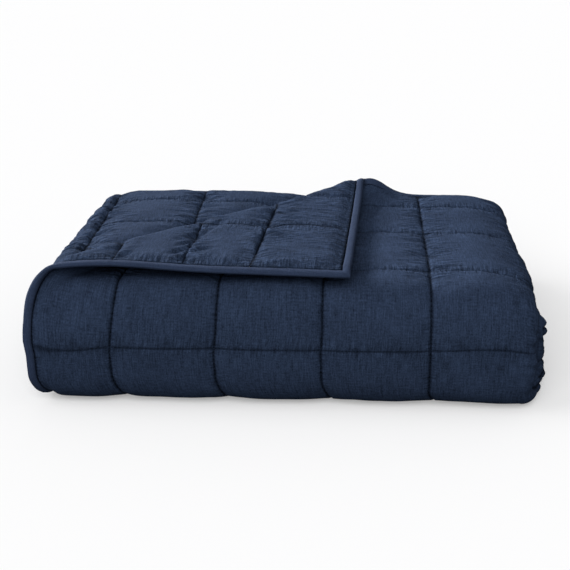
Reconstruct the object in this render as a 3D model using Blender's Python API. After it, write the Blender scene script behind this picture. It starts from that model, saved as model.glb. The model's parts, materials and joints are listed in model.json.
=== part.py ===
"""Weighted blanket, folded in half and in quarters, with one top corner turned back on the diagonal.

The quilted panel is drawn flat, in blanket coordinates, and then folded as a pair of hands would:
  across  distance from the left bound edge of the outer leg, along the blanket's width
  along   distance from the top back bound edge, along the blanket's length
  lift    distance from the middle of the cloth, towards the side that faces out
The panel is first folded in half across its width, which makes a pair of legs joined at the right end.
The pair is then folded twice along its length, which makes a stack of eight legs.
"""
import math
from bisect import bisect_right

import bmesh
import bpy
from mathutils import Matrix

# ---- driving sizes, in metres ---------------------------------------------------------------------
CELL = 0.127                    # one quilted cell, 5 in
LEG_PITCH = 0.0194              # height of one leg of cloth in the stack
CROWN_THICKNESS = 0.0178        # cloth in the middle of a cell
SEAM_THICKNESS = 0.0086         # cloth at a quilting seam
RIM_THICKNESS = 0.0050          # cloth where the binding takes it
RIM_TAPER = 0.0140              # how far in from the rim the cloth thins
CLEARANCE = 0.0003              # between the panel and its binding
BINDING_WIDTH = 0.0094
BINDING_THICKNESS = 0.0070

STACK_WIDTH = 4.86 * CELL       # left bound edge to right fold
STACK_DEPTH = 3.61 * CELL       # front bulge to back bound edges
FRONT_BULGE = 0.040             # depth of the front fold's centreline
FRONT_SQUARENESS = 2.5          # 2 is an ellipse, more is squarer
INNER_SHIFT = 0.008             # the inner pair stands this far past the outer one, to the right
LEG_SKEW = 0.070                # the inner leg runs back by this share of its distance from the fold

# ---- quilting seams --------------------------------------------------------------------------------
# Seams that run along the length, by their distance across in cells: on the outer leg where it lies
# flat, and in its turned-back corner, where the first one is pressed flat
LONG_SEAM_ROWS = (
    {"flat": 0.74, "corner": 0.45},
    {"flat": 1.72, "corner": 1.22},
    {"flat": 2.71, "corner": 2.24},
    {"flat": 3.71, "corner": 3.71},
    {"flat": 4.70, "corner": 4.70},
)
# the same seams on the inner leg, as distance from the left end of the stack
INNER_SEAMS = (0.25, 1.26, 2.40, 3.40)
# Seams that run across, by their distance along in cells: in the corner, at the right end of the
# stack, and at the left end of the inner leg, because a hand-folded blanket leans
CROSS_SEAM_ROWS = (
    {"corner": 0.87, "right": 0.49, "under": 0.42},
    {"corner": 1.52, "right": 1.36, "under": 1.17},
    {"corner": 2.18, "right": 2.48, "under": 1.98},
)
FRONT_SEAM = 3.33               # the one along the front, and past it they are one cell apart

# ---- the turned-back corner ------------------------------------------------------------------------
CORNER_START = 2.89 * CELL      # the fold crosses the left and the back edge this far from the corner
CORNER_RADIUS = 0.0103          # of the fold in the middle of its length
CORNER_LEFT_EXTRA = 0.0040      # the fold is looser at its left end
CORNER_BACK_EXTRA = 0.0025      # and at the back, where it stands up
PEAK_LIFT = 0.009               # how far the cloth stands off the stack at the back end of the fold
PEAK_REACH = 0.062

# ---- how the stack settles -------------------------------------------------------------------------
# Each row: which side, how far in it starts, and the share of the height lost at the very end
SETTLE = (
    {"side": "right", "reach": 0.085, "drop": 0.130},
    {"side": "left", "reach": 0.090, "drop": 0.080},
    {"side": "back", "reach": 0.060, "drop": 0.050},
)
SPRING_BACK = 0.085             # share of the height that the pile regains where no corner presses on it
SPRING_REACH = 0.080
CORNER_STIFFNESS = 0.85         # share of the front bend that the turned-back corner does not follow

SEAM_SHOULDER = 0.13            # share of a cell from a seam to its shoulder
COLLECTION_NAME = "weighted_blanket"

LEG_RADIUS = LEG_PITCH / 2
PAIR_PITCH = 2 * LEG_PITCH
LEFT_END = -STACK_WIDTH / 2 + BINDING_WIDTH + CLEARANCE
RIGHT_FOLD = STACK_WIDTH / 2 - LEG_PITCH - INNER_SHIFT
LEG_RUN = RIGHT_FOLD - LEFT_END
FOLD_ARC = math.pi * LEG_RADIUS
PANEL_WIDTH = 2 * LEG_RUN + FOLD_ARC
FRONT_START = -STACK_DEPTH / 2 + FRONT_BULGE + LEG_PITCH
BACK_EDGE = STACK_DEPTH / 2 - BINDING_WIDTH - CLEARANCE - LEG_SKEW * STACK_WIDTH


class FoldPath:
    """The centreline of the pair of legs, seen from the side, as a function of the distance along it."""

    def __init__(self):
        self.marks = []
        self.points = []
        self.distances = []
        top, bottom = 3.5 * PAIR_PITCH, 0.5 * PAIR_PITCH
        lower_middle, upper_middle = 1.5 * PAIR_PITCH, 2.5 * PAIR_PITCH
        back_fold = STACK_DEPTH / 2 - PAIR_PITCH
        inner_front = FRONT_START - FRONT_BULGE + 1.5 * PAIR_PITCH + 0.002
        self.add([(BACK_EDGE, top), (FRONT_START, top)])
        self.add(self.front_bend(top, bottom))
        self.add([(FRONT_START, bottom), (back_fold, bottom)])
        self.add(self.round_bend(back_fold, bottom, lower_middle, 1))
        self.add([(back_fold, lower_middle), (inner_front, lower_middle)])
        self.add(self.round_bend(inner_front, lower_middle, upper_middle, -1))
        self.add([(inner_front, upper_middle), (BACK_EDGE, upper_middle)])
        self.length = self.distances[-1]

    @staticmethod
    def front_bend(top, bottom, steps=48):
        """The big front fold: a squared half round from the top run down to the bottom run."""
        middle, half = (top + bottom) / 2, (top - bottom) / 2
        power = 2 / FRONT_SQUARENESS
        rows = []
        for step in range(steps + 1):
            angle = math.pi / 2 - math.pi * step / steps
            rise = math.sin(angle)
            depth = max(math.cos(angle), 0.0) ** power
            rows.append((FRONT_START - FRONT_BULGE * depth,
                         middle + half * math.copysign(abs(rise) ** power, rise)))
        return rows

    @staticmethod
    def round_bend(y, start, end, side, steps=24):
        """A half round that bulges to +Y for side 1 and to -Y for side -1."""
        middle, radius = (start + end) / 2, (end - start) / 2
        rows = []
        for step in range(steps + 1):
            angle = -math.pi / 2 + math.pi * step / steps
            rows.append((y + side * radius * math.cos(angle), middle + radius * math.sin(angle)))
        return rows

    def add(self, rows):
        """Join a stretch to the path, and mark the distance at which it ends."""
        for row in rows:
            if self.points:
                gap = math.dist(row, self.points[-1])
                if gap < 1e-7:
                    continue
                self.distances.append(self.distances[-1] + gap)
            else:
                self.distances.append(0.0)
            self.points.append(row)
        self.marks.append(self.distances[-1])

    def at(self, along):
        """The place (y, z) at a distance along the path, and the unit normal there, which faces out."""
        index = min(max(bisect_right(self.distances, along) - 1, 0), len(self.points) - 2)
        start, end = self.points[index], self.points[index + 1]
        span = self.distances[index + 1] - self.distances[index]
        share = (along - self.distances[index]) / span
        before = self.direction(index - 1) if index else self.direction(index)
        here = self.direction(index)
        after = self.direction(index + 1) if index + 2 < len(self.points) else here
        mix = min(max(share, 0.0), 1.0)
        towards = [((1 - mix) * (before[k] + here[k]) + mix * (here[k] + after[k])) / 2 for k in range(2)]
        size = math.hypot(*towards)
        place = [start[k] + share * (end[k] - start[k]) for k in range(2)]
        return place[0], place[1], towards[1] / size, -towards[0] / size

    def direction(self, index):
        start, end = self.points[index], self.points[index + 1]
        span = math.dist(start, end)
        return (end[0] - start[0]) / span, (end[1] - start[1]) / span


PATH = FoldPath()
PANEL_LENGTH = PATH.length
TOP_END, FRONT_END, BOTTOM_END, BACK_END, LOWER_END, INNER_FRONT_END, PATH_END = PATH.marks


def smooth_step(value):
    """0 below 0, 1 above 1, and smooth between."""
    value = min(max(value, 0.0), 1.0)
    return value * value * (3 - 2 * value)


def between(value, rows):
    """Straight-line table look-up: rows of (place, result), in order of place."""
    if value <= rows[0][0]:
        return rows[0][1]
    for (low, first), (high, last) in zip(rows, rows[1:]):
        if value <= high:
            return first + (last - first) * (value - low) / (high - low)
    return rows[-1][1]


def long_seams():
    """Distance across of each seam that runs along the length, from the outer edge to the inner one."""
    outer = [CELL * row["flat"] for row in LONG_SEAM_ROWS]
    inner = [PANEL_WIDTH - CELL * place for place in INNER_SEAMS]
    return outer + sorted(inner)


def cross_seams():
    """Distance along of each seam that runs across, at the right end of the stack."""
    seams = [CELL * row["right"] for row in CROSS_SEAM_ROWS] + [CELL * FRONT_SEAM]
    while seams[-1] + 1.2 * CELL < PANEL_LENGTH:
        seams.append(seams[-1] + CELL)
    return seams


LONG_SEAMS = long_seams()
CROSS_SEAMS = cross_seams()


def corner_share(along):
    """1 where the outer leg is turned back and 0 where it lies flat."""
    return 1 - smooth_step((along - 0.70 * CORNER_START) / (0.35 * CORNER_START))


def leaning(across, along):
    """Move a point of the square grid to where the hand-folded cloth has it."""
    rows = [(0.0, 0.0)] + [(CELL * row["flat"], CELL * (row["corner"] - row["flat"])) for row in LONG_SEAM_ROWS]
    moved_across = across + between(across, rows) * corner_share(along) if across < LEG_RUN else across
    places = [0.0] + [CELL * row["right"] for row in CROSS_SEAM_ROWS] + [CELL * FRONT_SEAM]
    corner = [0.0] + [CELL * (row["corner"] - row["right"]) for row in CROSS_SEAM_ROWS] + [0.0]
    under = [0.0] + [CELL * (row["under"] - row["right"]) for row in CROSS_SEAM_ROWS] + [0.0]
    to_corner = 1 - smooth_step((across - CELL) / (2.2 * CELL))
    to_under = max(across - LEG_RUN - FOLD_ARC, 0.0) / LEG_RUN
    moved_along = (along + to_corner * between(along, list(zip(places, corner)))
                   + to_under * between(along, list(zip(places, under))))
    return moved_across, moved_along


def crown(place, seams, length):
    """0 on a seam or the rim and 1 in the middle of a cell, steep beside the seam."""
    edges = [0.0] + seams + [length]
    index = min(max(bisect_right(edges, place) - 1, 0), len(edges) - 2)
    share = (place - edges[index]) / (edges[index + 1] - edges[index])
    return 1 - abs(2 * min(max(share, 0.0), 1.0) - 1) ** 2.8


def half_thickness(across, along, outer_face):
    """Half of the cloth's thickness, thick in each cell and thin at seams and at the rim."""
    wide = crown(across, LONG_SEAMS, PANEL_WIDTH)
    pressed = crown(across, LONG_SEAMS[1:], PANEL_WIDTH)
    share = corner_share(along)
    puff = (wide + (pressed - wide) * share) * crown(along, CROSS_SEAMS, PANEL_LENGTH) ** 0.5
    if outer_face and across < LEG_RUN:
        flat = smooth_step((along - FRONT_END + 0.01) / 0.01) * smooth_step((BOTTOM_END - along + 0.01) / 0.01)
        puff += (1 - puff) * flat
    thickness = SEAM_THICKNESS + (CROWN_THICKNESS - SEAM_THICKNESS) * puff
    inset = min(across, PANEL_WIDTH - across, along, PANEL_LENGTH - along)
    rim = smooth_step(inset / RIM_TAPER)
    return (RIM_THICKNESS + (thickness - RIM_THICKNESS) * rim) / 2


def half_fold(across, lift):
    """Place on the section of the pair: x, and the offset from the pair's centreline."""
    if across <= LEG_RUN:
        return LEFT_END + across, LEG_RADIUS + lift
    turn = (across - LEG_RUN) / LEG_RADIUS
    if turn >= math.pi:
        return RIGHT_FOLD - (across - LEG_RUN - FOLD_ARC), -LEG_RADIUS - lift
    radius = LEG_RADIUS + lift
    return RIGHT_FOLD + radius * math.sin(turn), radius * math.cos(turn)


def corner_radius(travel):
    """Radius of the corner fold at a distance along it from the left edge."""
    length = math.sqrt(2) * CORNER_START
    left = smooth_step(1 - travel / (0.30 * length))
    back = smooth_step((travel - 0.72 * length) / (0.28 * length))
    return CORNER_RADIUS + CORNER_LEFT_EXTRA * left + CORNER_BACK_EXTRA * back


def turned_corner(x, along, offset):
    """Fold the outer leg over the diagonal that runs from its left edge to its back edge.

    The last result is how far the cloth has turned: 0 where it lies flat and 1 where it is turned back.
    """
    past = (CORNER_START - along - (x - LEFT_END)) / math.sqrt(2)
    travel = (CORNER_START - along + (x - LEFT_END)) / math.sqrt(2)
    radius = corner_radius(travel)
    start = -math.pi * radius / 2
    lift = offset - LEG_RADIUS
    turn = min(max((past - start) / radius, 0.0), math.pi)
    reach = start + (radius - lift) * math.sin(turn)
    height = radius - (radius - lift) * math.cos(turn)
    if past <= start:
        reach = past
    elif turn >= math.pi:
        reach = -past
    x = LEFT_END + (travel - reach) / math.sqrt(2)
    along = CORNER_START - (travel + reach) / math.sqrt(2)
    return x, along, LEG_RADIUS + height, (1 - math.cos(turn)) / 2


def peak_lift(x, along):
    """How far the outer leg and the turned corner stand off the stack, near the back end of the fold."""
    peak_x = LEFT_END + CORNER_START
    away = math.hypot((x - peak_x) / PEAK_REACH, along / (1.3 * PEAK_REACH))
    return PEAK_LIFT * math.exp(-2 * away * away)


def settle(x, y, z):
    """Let the stack sink towards its ends, with its foot still flat, and rise where it is relieved."""
    share = 1.0
    reach_past = {"right": x - STACK_WIDTH / 2, "left": -STACK_WIDTH / 2 - x, "back": y - STACK_DEPTH / 2}
    for row in SETTLE:
        inside = max(reach_past[row["side"]] + row["reach"], 0.0) / row["reach"]
        share -= row["drop"] * min(inside, 1.2) ** 2
    past_corner = ((y - BACK_EDGE + CORNER_START) - (x - LEFT_END)) / math.sqrt(2) - CORNER_RADIUS / 2
    share += SPRING_BACK * smooth_step(past_corner / SPRING_REACH)
    return x, y, z * share


def fold(across, along, lift):
    """Take a point of the flat cloth to its place in the folded stack."""
    x, offset = half_fold(across, lift)
    free = 0.0
    if across > LEG_RUN:
        skew = LEG_SKEW * (1 - smooth_step((along - TOP_END) / (FRONT_END - TOP_END)))
        along -= skew * (RIGHT_FOLD - x) * smooth_step((across - LEG_RUN) / FOLD_ARC)
    elif along < (TOP_END + FRONT_END) / 2:
        x, along, offset, turned = turned_corner(x, along, offset)
        free = CORNER_STIFFNESS * turned
        offset += peak_lift(x, along)
    y, z, normal_y, normal_z = PATH.at(along)
    y += offset * normal_y
    z += offset * normal_z
    y += free * (BACK_EDGE - along - y)
    z += free * (PATH.points[0][1] + offset - z)
    x += INNER_SHIFT * smooth_step((along - BOTTOM_END) / (BACK_END - BOTTOM_END))
    return settle(x, y, z - FOOT)


FOOT = 0.5 * PAIR_PITCH - LEG_RADIUS - CROWN_THICKNESS / 2


def cell_lines(seams, start, end, shares):
    """Lines at each seam and at the given shares of each cell between two places."""
    edges = [start] + [seam for seam in seams if start < seam < end] + [end]
    lines = []
    for low, high in zip(edges, edges[1:]):
        lines += [low + share * (high - low) for share in shares]
    return lines


def even_lines(start, end, count):
    return [start + (end - start) * step / count for step in range(count)]


FINE = (0.0, SEAM_SHOULDER, 0.5, 1 - SEAM_SHOULDER)
COARSE = (0.0, 0.5)
CORNER_CUTS = (-1.0, -0.65, -0.38, -0.12, 0.12, 0.38, 0.65, 1.0)


def lines_across():
    """Where the flat panel is cut along its length: fine on the outer leg, coarse on the inner one."""
    lines = cell_lines(LONG_SEAMS, 0.0, LEG_RUN, FINE)
    lines += even_lines(LEG_RUN, LEG_RUN + FOLD_ARC, 5)
    lines += cell_lines(LONG_SEAMS, LEG_RUN + FOLD_ARC, PANEL_WIDTH, COARSE)
    return lines


def lines_along():
    """Where the flat panel is cut across: fine on the top and the front, coarse inside."""
    lines = cell_lines(CROSS_SEAMS, 0.0, TOP_END, FINE)
    lines += even_lines(TOP_END, FRONT_END, 9)
    lines += cell_lines(CROSS_SEAMS, FRONT_END, BOTTOM_END, COARSE)
    lines += even_lines(BOTTOM_END, BACK_END, 5)
    lines += cell_lines(CROSS_SEAMS, BACK_END, LOWER_END, (0.0,))
    lines += even_lines(LOWER_END, INNER_FRONT_END, 5)
    lines += cell_lines(CROSS_SEAMS, INNER_FRONT_END, PATH_END, COARSE)
    return lines


def diagonal_lines():
    """Where the corner's fold cuts its two edges, each at its distance from the corner."""
    half_bend = math.pi * (CORNER_RADIUS + CORNER_LEFT_EXTRA) / 2
    return [CORNER_START + math.sqrt(2) * half_bend * share for share in CORNER_CUTS]


def cut(mesh, faces, point, normal):
    """Cut faces of the flat panel along a plane."""
    geometry = set(faces)
    for face in faces:
        geometry.update(face.verts)
        geometry.update(face.edges)
    bmesh.ops.bisect_plane(mesh, geom=list(geometry), dist=1e-6, plane_co=point, plane_no=normal)


def flat_panel():
    """The panel before it is folded: one flat face of the whole size, cut along its lines."""
    mesh = bmesh.new()
    corners = [(0, 0), (PANEL_WIDTH, 0), (PANEL_WIDTH, PANEL_LENGTH), (0, PANEL_LENGTH)]
    mesh.faces.new([mesh.verts.new((across, along, 0)) for across, along in corners])
    for across in lines_across()[1:] + [RIM_TAPER]:
        cut(mesh, mesh.faces[:], (across, 0, 0), (1, 0, 0))
    for along in lines_along()[1:] + [RIM_TAPER]:
        cut(mesh, mesh.faces[:], (0, along, 0), (0, 1, 0))
    grid_across = mesh.verts.layers.float.new("grid_across")
    grid_along = mesh.verts.layers.float.new("grid_along")
    for vert in mesh.verts:
        vert[grid_across], vert[grid_along] = vert.co.x, vert.co.y
        vert.co.x, vert.co.y = leaning(vert.co.x, vert.co.y)
    for reach in diagonal_lines():
        near = [face for face in mesh.faces if all(abs(v.co.x) + abs(v.co.y) < 1.5 * CORNER_START for v in face.verts)
                and min(v.co.x + v.co.y for v in face.verts) < reach < max(v.co.x + v.co.y for v in face.verts)]
        cut(mesh, near, (reach, 0, 0), (math.sqrt(0.5), math.sqrt(0.5), 0))
    bmesh.ops.triangulate(mesh, faces=mesh.faces[:], quad_method="BEAUTY", ngon_method="BEAUTY")
    return mesh


def face_outwards(mesh):
    """Turn every face of a closed mesh to point out of it."""
    bmesh.ops.recalc_face_normals(mesh, faces=mesh.faces[:])
    if mesh.calc_volume(signed=True) < 0:
        bmesh.ops.reverse_faces(mesh, faces=mesh.faces[:])


def quilted_panel():
    """The whole panel as one closed solid, folded."""
    mesh = flat_panel()
    lower = mesh.verts[:]
    grid_across, grid_along = mesh.verts.layers.float["grid_across"], mesh.verts.layers.float["grid_along"]
    made = bmesh.ops.extrude_face_region(mesh, geom=mesh.faces[:])["geom"]
    upper = [item for item in made if isinstance(item, bmesh.types.BMVert)]
    for side, verts in ((-1, lower), (1, upper)):
        for vert in verts:
            thick = half_thickness(vert[grid_across], vert[grid_along], side == 1)
            vert.co = fold(vert.co.x, vert.co.y, side * thick)
    face_outwards(mesh)
    return mesh


def binding_stations():
    """Corners and steps along the panel's rim: a place on the rim and the way out from it."""
    across, along = lines_across() + [PANEL_WIDTH], lines_along() + [PANEL_LENGTH]
    back = sorted([leaning(place, 0.0)[0] for place in across] + diagonal_lines())
    right = sorted(leaning(PANEL_WIDTH, place)[1] for place in along)
    front = sorted(across)
    left = sorted([leaning(0.0, place)[1] for place in along] + diagonal_lines())
    stations = [(place, 0.0, 0.0, -1.0) for place in back[1:-1]]
    stations.append((PANEL_WIDTH, 0.0, 1.0, -1.0))
    stations += [(PANEL_WIDTH, place, 1.0, 0.0) for place in right[1:-1]]
    stations.append((PANEL_WIDTH, PANEL_LENGTH, 1.0, 1.0))
    stations += [(place, PANEL_LENGTH, 0.0, 1.0) for place in front[-2:0:-1]]
    stations.append((0.0, PANEL_LENGTH, -1.0, 1.0))
    stations += [(0.0, place, -1.0, 0.0) for place in left[-2:0:-1]]
    stations.append((0.0, 0.0, -1.0, -1.0))
    return stations


def edge_binding(sides=8):
    """The strip round the panel's rim, an oval bar that turns square at the four corners."""
    mesh = bmesh.new()
    ring = None
    first = None
    for across, along, out_x, out_y in binding_stations():
        section = []
        for side in range(sides):
            angle = 2 * math.pi * (side + 0.5) / sides
            out = CLEARANCE + BINDING_WIDTH / 2 * (1 + math.cos(angle) / math.cos(math.pi / sides))
            lift = BINDING_THICKNESS / 2 * math.sin(angle) / math.cos(math.pi / sides)
            section.append(fold(across + out * out_x, along + out * out_y, lift))
        if ring is None:
            ring = [mesh.verts.new(place) for place in section]
            first = [mesh.edges.new((ring[k], ring[(k + 1) % sides])) for k in range(sides)]
            edges = first
            continue
        made = bmesh.ops.extrude_edge_only(mesh, edges=edges)["geom"]
        edges = [item for item in made if isinstance(item, bmesh.types.BMEdge)]
        follow = {}
        for face in {face for edge in edges for face in edge.link_faces}:
            for edge in face.edges:
                ends = [vert for vert in edge.verts if vert in ring]
                if len(ends) == 1:
                    follow[ends[0]] = edge.other_vert(ends[0])
        ring = [follow[vert] for vert in ring]
        for vert, place in zip(ring, section):
            vert.co = place
    bmesh.ops.bridge_loops(mesh, edges=edges + first)
    face_outwards(mesh)
    return mesh


def cotton(name, colour, roughness):
    """A matt woven cotton."""
    material = bpy.data.materials.new(name)
    material.use_nodes = True
    shader = material.node_tree.nodes["Principled BSDF"]
    shader.inputs["Base Color"].default_value = (*colour, 1)
    shader.inputs["Roughness"].default_value = roughness
    shader.inputs["Metallic"].default_value = 0.0
    return material


def add_object(name, mesh, material, collection):
    """Put a finished mesh in the collection as a named object."""
    data = bpy.data.meshes.new(name)
    mesh.to_mesh(data)
    mesh.free()
    data.materials.append(material)
    data.shade_smooth()
    data.set_sharp_from_angle(angle=math.radians(50))
    collection.objects.link(bpy.data.objects.new(name, data))


def stand_at_origin(objects):
    """Shift the objects together so that the origin is in the middle of their box, at its foot."""
    places = [vert.co for item in objects for vert in item.data.vertices]
    middle = [(min(place[k] for place in places) + max(place[k] for place in places)) / 2 for k in range(2)]
    for item in objects:
        item.data.transform(Matrix.Translation((-middle[0], -middle[1], 0)))


def main():
    for thing in list(bpy.data.objects):
        bpy.data.objects.remove(thing, do_unlink=True)
    collection = bpy.data.collections.new(COLLECTION_NAME)
    bpy.context.scene.collection.children.link(collection)
    panel_cotton = cotton("navy_cotton", (0.026, 0.040, 0.082), 0.86)
    binding_cotton = cotton("navy_binding", (0.034, 0.050, 0.095), 0.82)
    add_object("quilted_panel", quilted_panel(), panel_cotton, collection)
    add_object("edge_binding", edge_binding(), binding_cotton, collection)
    stand_at_origin(collection.objects)


main()
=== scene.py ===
"""Folded weighted blanket: the finished cloth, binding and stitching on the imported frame.

The quilted panel is drawn flat, in blanket coordinates, and folded the way its solid is:
  across  distance from the left bound edge of the outer leg, along the blanket's width
  along   distance from the top back bound edge, along the blanket's length
  lift    distance from the middle of the cloth, towards its outer face
The width is folded in half first, with the half fold at the right, which makes an outer and an inner leg.
The pair is then folded back and forth over the front bend, the back bend and the inner bend.
Sizes are in metres, and the front of the stack faces -Y.
"""
from __future__ import annotations

import json
import logging
import math
from bisect import bisect_right
from dataclasses import dataclass, field
from enum import Enum
from typing import Iterable, Optional, Sequence

import bmesh
import bpy
from mathutils import Matrix, Vector, noise

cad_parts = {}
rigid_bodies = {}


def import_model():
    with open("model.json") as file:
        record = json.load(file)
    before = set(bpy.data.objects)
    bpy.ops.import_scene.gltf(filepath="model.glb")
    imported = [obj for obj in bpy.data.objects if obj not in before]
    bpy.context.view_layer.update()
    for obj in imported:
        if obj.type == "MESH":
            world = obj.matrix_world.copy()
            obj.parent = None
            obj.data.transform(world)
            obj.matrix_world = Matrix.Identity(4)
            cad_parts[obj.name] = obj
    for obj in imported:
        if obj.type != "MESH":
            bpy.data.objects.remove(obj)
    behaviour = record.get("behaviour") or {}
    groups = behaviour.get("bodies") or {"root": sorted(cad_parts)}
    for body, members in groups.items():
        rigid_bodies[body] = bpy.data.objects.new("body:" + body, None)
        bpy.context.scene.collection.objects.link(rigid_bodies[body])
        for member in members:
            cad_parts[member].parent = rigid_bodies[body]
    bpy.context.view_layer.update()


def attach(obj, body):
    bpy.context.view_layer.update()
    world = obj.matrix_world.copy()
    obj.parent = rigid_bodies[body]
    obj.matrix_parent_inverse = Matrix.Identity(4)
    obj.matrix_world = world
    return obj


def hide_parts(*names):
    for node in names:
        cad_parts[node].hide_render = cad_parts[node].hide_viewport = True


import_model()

logging.basicConfig(level=logging.INFO, format="%(name)s: %(message)s")
LOG = logging.getLogger("blanket")

CELL = 0.127
STITCH_PITCH = 0.0046
HALF_TURN = math.pi


class Face(Enum):
    """The two faces of the cloth, each by the sign of its lift."""

    OUTER = 1
    INNER = -1


class Axis(Enum):
    """The two ways over the cloth, by the names of their parts in its maps."""

    ACROSS = "X"
    ALONG = "Y"


class Side(Enum):
    """The sides that the stack sinks towards."""

    RIGHT = "right"
    LEFT = "left"
    BACK = "back"


class Bend(Enum):
    """The way in which a bend bulges, by its sign on Y."""

    BACK = 1
    FRONT = -1


class Seed(Enum):
    """Where in the noise each kind of wrinkle is read, so that no two kinds look alike."""

    BINDING = 2.0
    CRUMPLE = 9.0
    LONG_SEAM = 11.0
    CROSS_SEAM = 31.0
    LEFT_RIM = 51.0
    BACK_RIM = 57.0
    RIGHT_RIM = 63.0


class SeedStep(Enum):
    """Steps on from a seed, for the other face of the cloth or for a second set of waves."""

    WANDER = 0.3
    SEAM_FACE = 0.4
    SECOND_KIND = 0.5
    SWELL_FACE = 3.1
    GUST = 3.7
    BROAD_WAVE = 7.3


def smooth_step(value: float) -> float:
    """0 below 0, 1 above 1, and smooth between."""
    value = min(max(value, 0.0), 1.0)
    return value * value * (3 - 2 * value)


def ramp(place: float, start: float, end: float) -> float:
    """0 up to the start, 1 from the end on, and smooth between."""
    return smooth_step((place - start) / (end - start))


def bell(distance: float, width: float) -> float:
    """1 at no distance, falling off smoothly on both sides."""
    return math.exp(-(distance / width) ** 2)


def two_noises(place: Vector, finer: float) -> float:
    """Soft noise with a finer one, of half its height, on top."""
    return noise.noise(place) + 0.5 * noise.noise(finer * place)


def between(value: float, rows: Sequence[tuple[float, float]]) -> float:
    """Straight-line table look-up.

    Args:
        value: The place to look up.
        rows: Pairs of place and result, in order of place.

    Returns:
        The result at that place, held at the table's two ends.
    """
    if value <= rows[0][0]:
        return rows[0][1]
    for (low, first), (high, last) in zip(rows, rows[1:]):
        if value <= high:
            return first + (last - first) * (value - low) / (high - low)
    return rows[-1][1]


def face_outwards(mesh: bmesh.types.BMesh) -> None:
    """Point every face of a closed mesh outwards.

    Args:
        mesh: The mesh.
    """
    bmesh.ops.recalc_face_normals(mesh, faces=mesh.faces[:])
    if mesh.calc_volume(signed=True) < 0:
        bmesh.ops.reverse_faces(mesh, faces=mesh.faces[:])


@dataclass(frozen=True)
class ClothSizes:
    """The cloth's own sizes."""

    leg_pitch: float = 0.0194        # height of one leg of cloth in the stack
    crown: float = 0.0178            # thickness in the middle of a cell
    seam: float = 0.0058             # and at a seam
    rim: float = 0.0050              # and where the binding takes it
    rim_taper: float = 0.0110        # how far in from the rim the cloth thins
    front_taper: float = 0.7         # the share by which that grows at the left edge down the front
    clearance: float = 0.0003        # between the panel and its binding
    binding_width: float = 0.0094
    binding_thickness: float = 0.0070


@dataclass(frozen=True)
class LongSeam:
    """A seam along the length: its distance across in cells, lying flat and in the turned-back corner."""

    flat: float
    corner: float


@dataclass(frozen=True)
class CrossSeam:
    """A seam across: its distance along in cells, in the corner, at the right and on the inner leg.

    The slant is how far it runs off per metre across in the corner.
    """

    corner: float
    right: float
    under: float
    slant: float = 0.0


@dataclass(frozen=True)
class CornerSizes:
    """The outer leg's top left corner, turned back over a diagonal from the left edge to the back edge."""

    back: float = 2.89 * CELL        # from the corner to the diagonal along the back edge
    left: float = 2.89 * CELL        # and along the left edge
    radius: float = 0.0103           # of the fold in the middle of its length
    left_extra: float = 0.0040       # the fold is looser at its left end
    left_part: float = 0.30          # over this share of its length
    back_extra: float = 0.0010       # and at its back end
    back_part: float = 0.28
    swing: float = 0.047             # the turned cloth is swung round by this slope
    swing_fade: float = 0.060
    stiffness: float = 0.85          # share of the front bend that the turned cloth doesn't follow
    flat_share: float = 0.64         # seams lie as in the corner up to this share of its left side
    edge_lift: float = 0.0035        # how far the turned cloth's front edge stands up
    edge_reach: float = 0.06
    ridge_width: float = 0.017       # of the smooth stretch along the diagonal


@dataclass(frozen=True)
class TipSizes:
    """How the cloth stands off the stack at the diagonal's back end, and its bound edge curls up there."""

    step: float = 0.016              # from the diagonal's back end to the highest place
    lift: float = 0.008
    reach: float = 0.062
    left_share: float = 0.75         # of the reach, to the left of the highest place
    front_share: float = 1.3         # of the reach, towards the front
    curl: float = 0.0285
    curl_lean: float = 0.017         # how far the curl leans towards the front
    curl_step: float = 0.016         # from the highest place to the middle of the curl
    curl_width: float = 0.036
    curl_depth: float = 0.017


@dataclass(frozen=True)
class LeftEndSizes:
    """The bow and the dip of the outer leg near its left edge, and the inner leg that hangs out there."""

    bow_rows: tuple[tuple[float, float], ...] = (    # share of the way down the front, and the bow there
        (-0.35, 0.0), (-0.05, 0.0045), (0.15, 0.0040), (0.5, -0.0030), (0.8, -0.0010), (1.0, 0.0))
    bow_edge: float = 0.08           # the bow is full this far from the edge
    bow_reach_in: float = 0.30       # and ends this far from it
    bow_reach_out: float = 0.45
    bow_fade: float = 0.20
    dip: float = 0.008
    dip_across: float = 0.040        # the dip's place from the edge, and from the end of the top
    dip_along: float = 0.030
    dip_width: float = 0.034
    dip_length: float = 0.030
    dip_steepness: float = 1.3
    welt_start: tuple[float, float] = (-0.03, 0.02)  # the fuller binding begins here past the corner
    welt_fade: float = 0.02          # it ends this far past the front bend
    welt_width: float = 0.03         # and this far from the edge
    overhang: float = 0.014
    overhang_start: float = 0.2      # share of the overhang at the back edge
    overhang_gain: float = 4.8       # and what is added for each metre along
    overhang_full: float = 0.32      # up to this distance
    overhang_end: tuple[float, float] = (0.30, 0.42)
    draw: float = 0.065              # the cloth that is drawn out with the edge
    roll: float = 0.018              # radius of the edge as it rolls down
    roll_start: float = 1.6          # in radii from the edge
    back_roll: float = 0.55          # share of the roll at the back edge
    back_roll_end: float = 0.10


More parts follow.
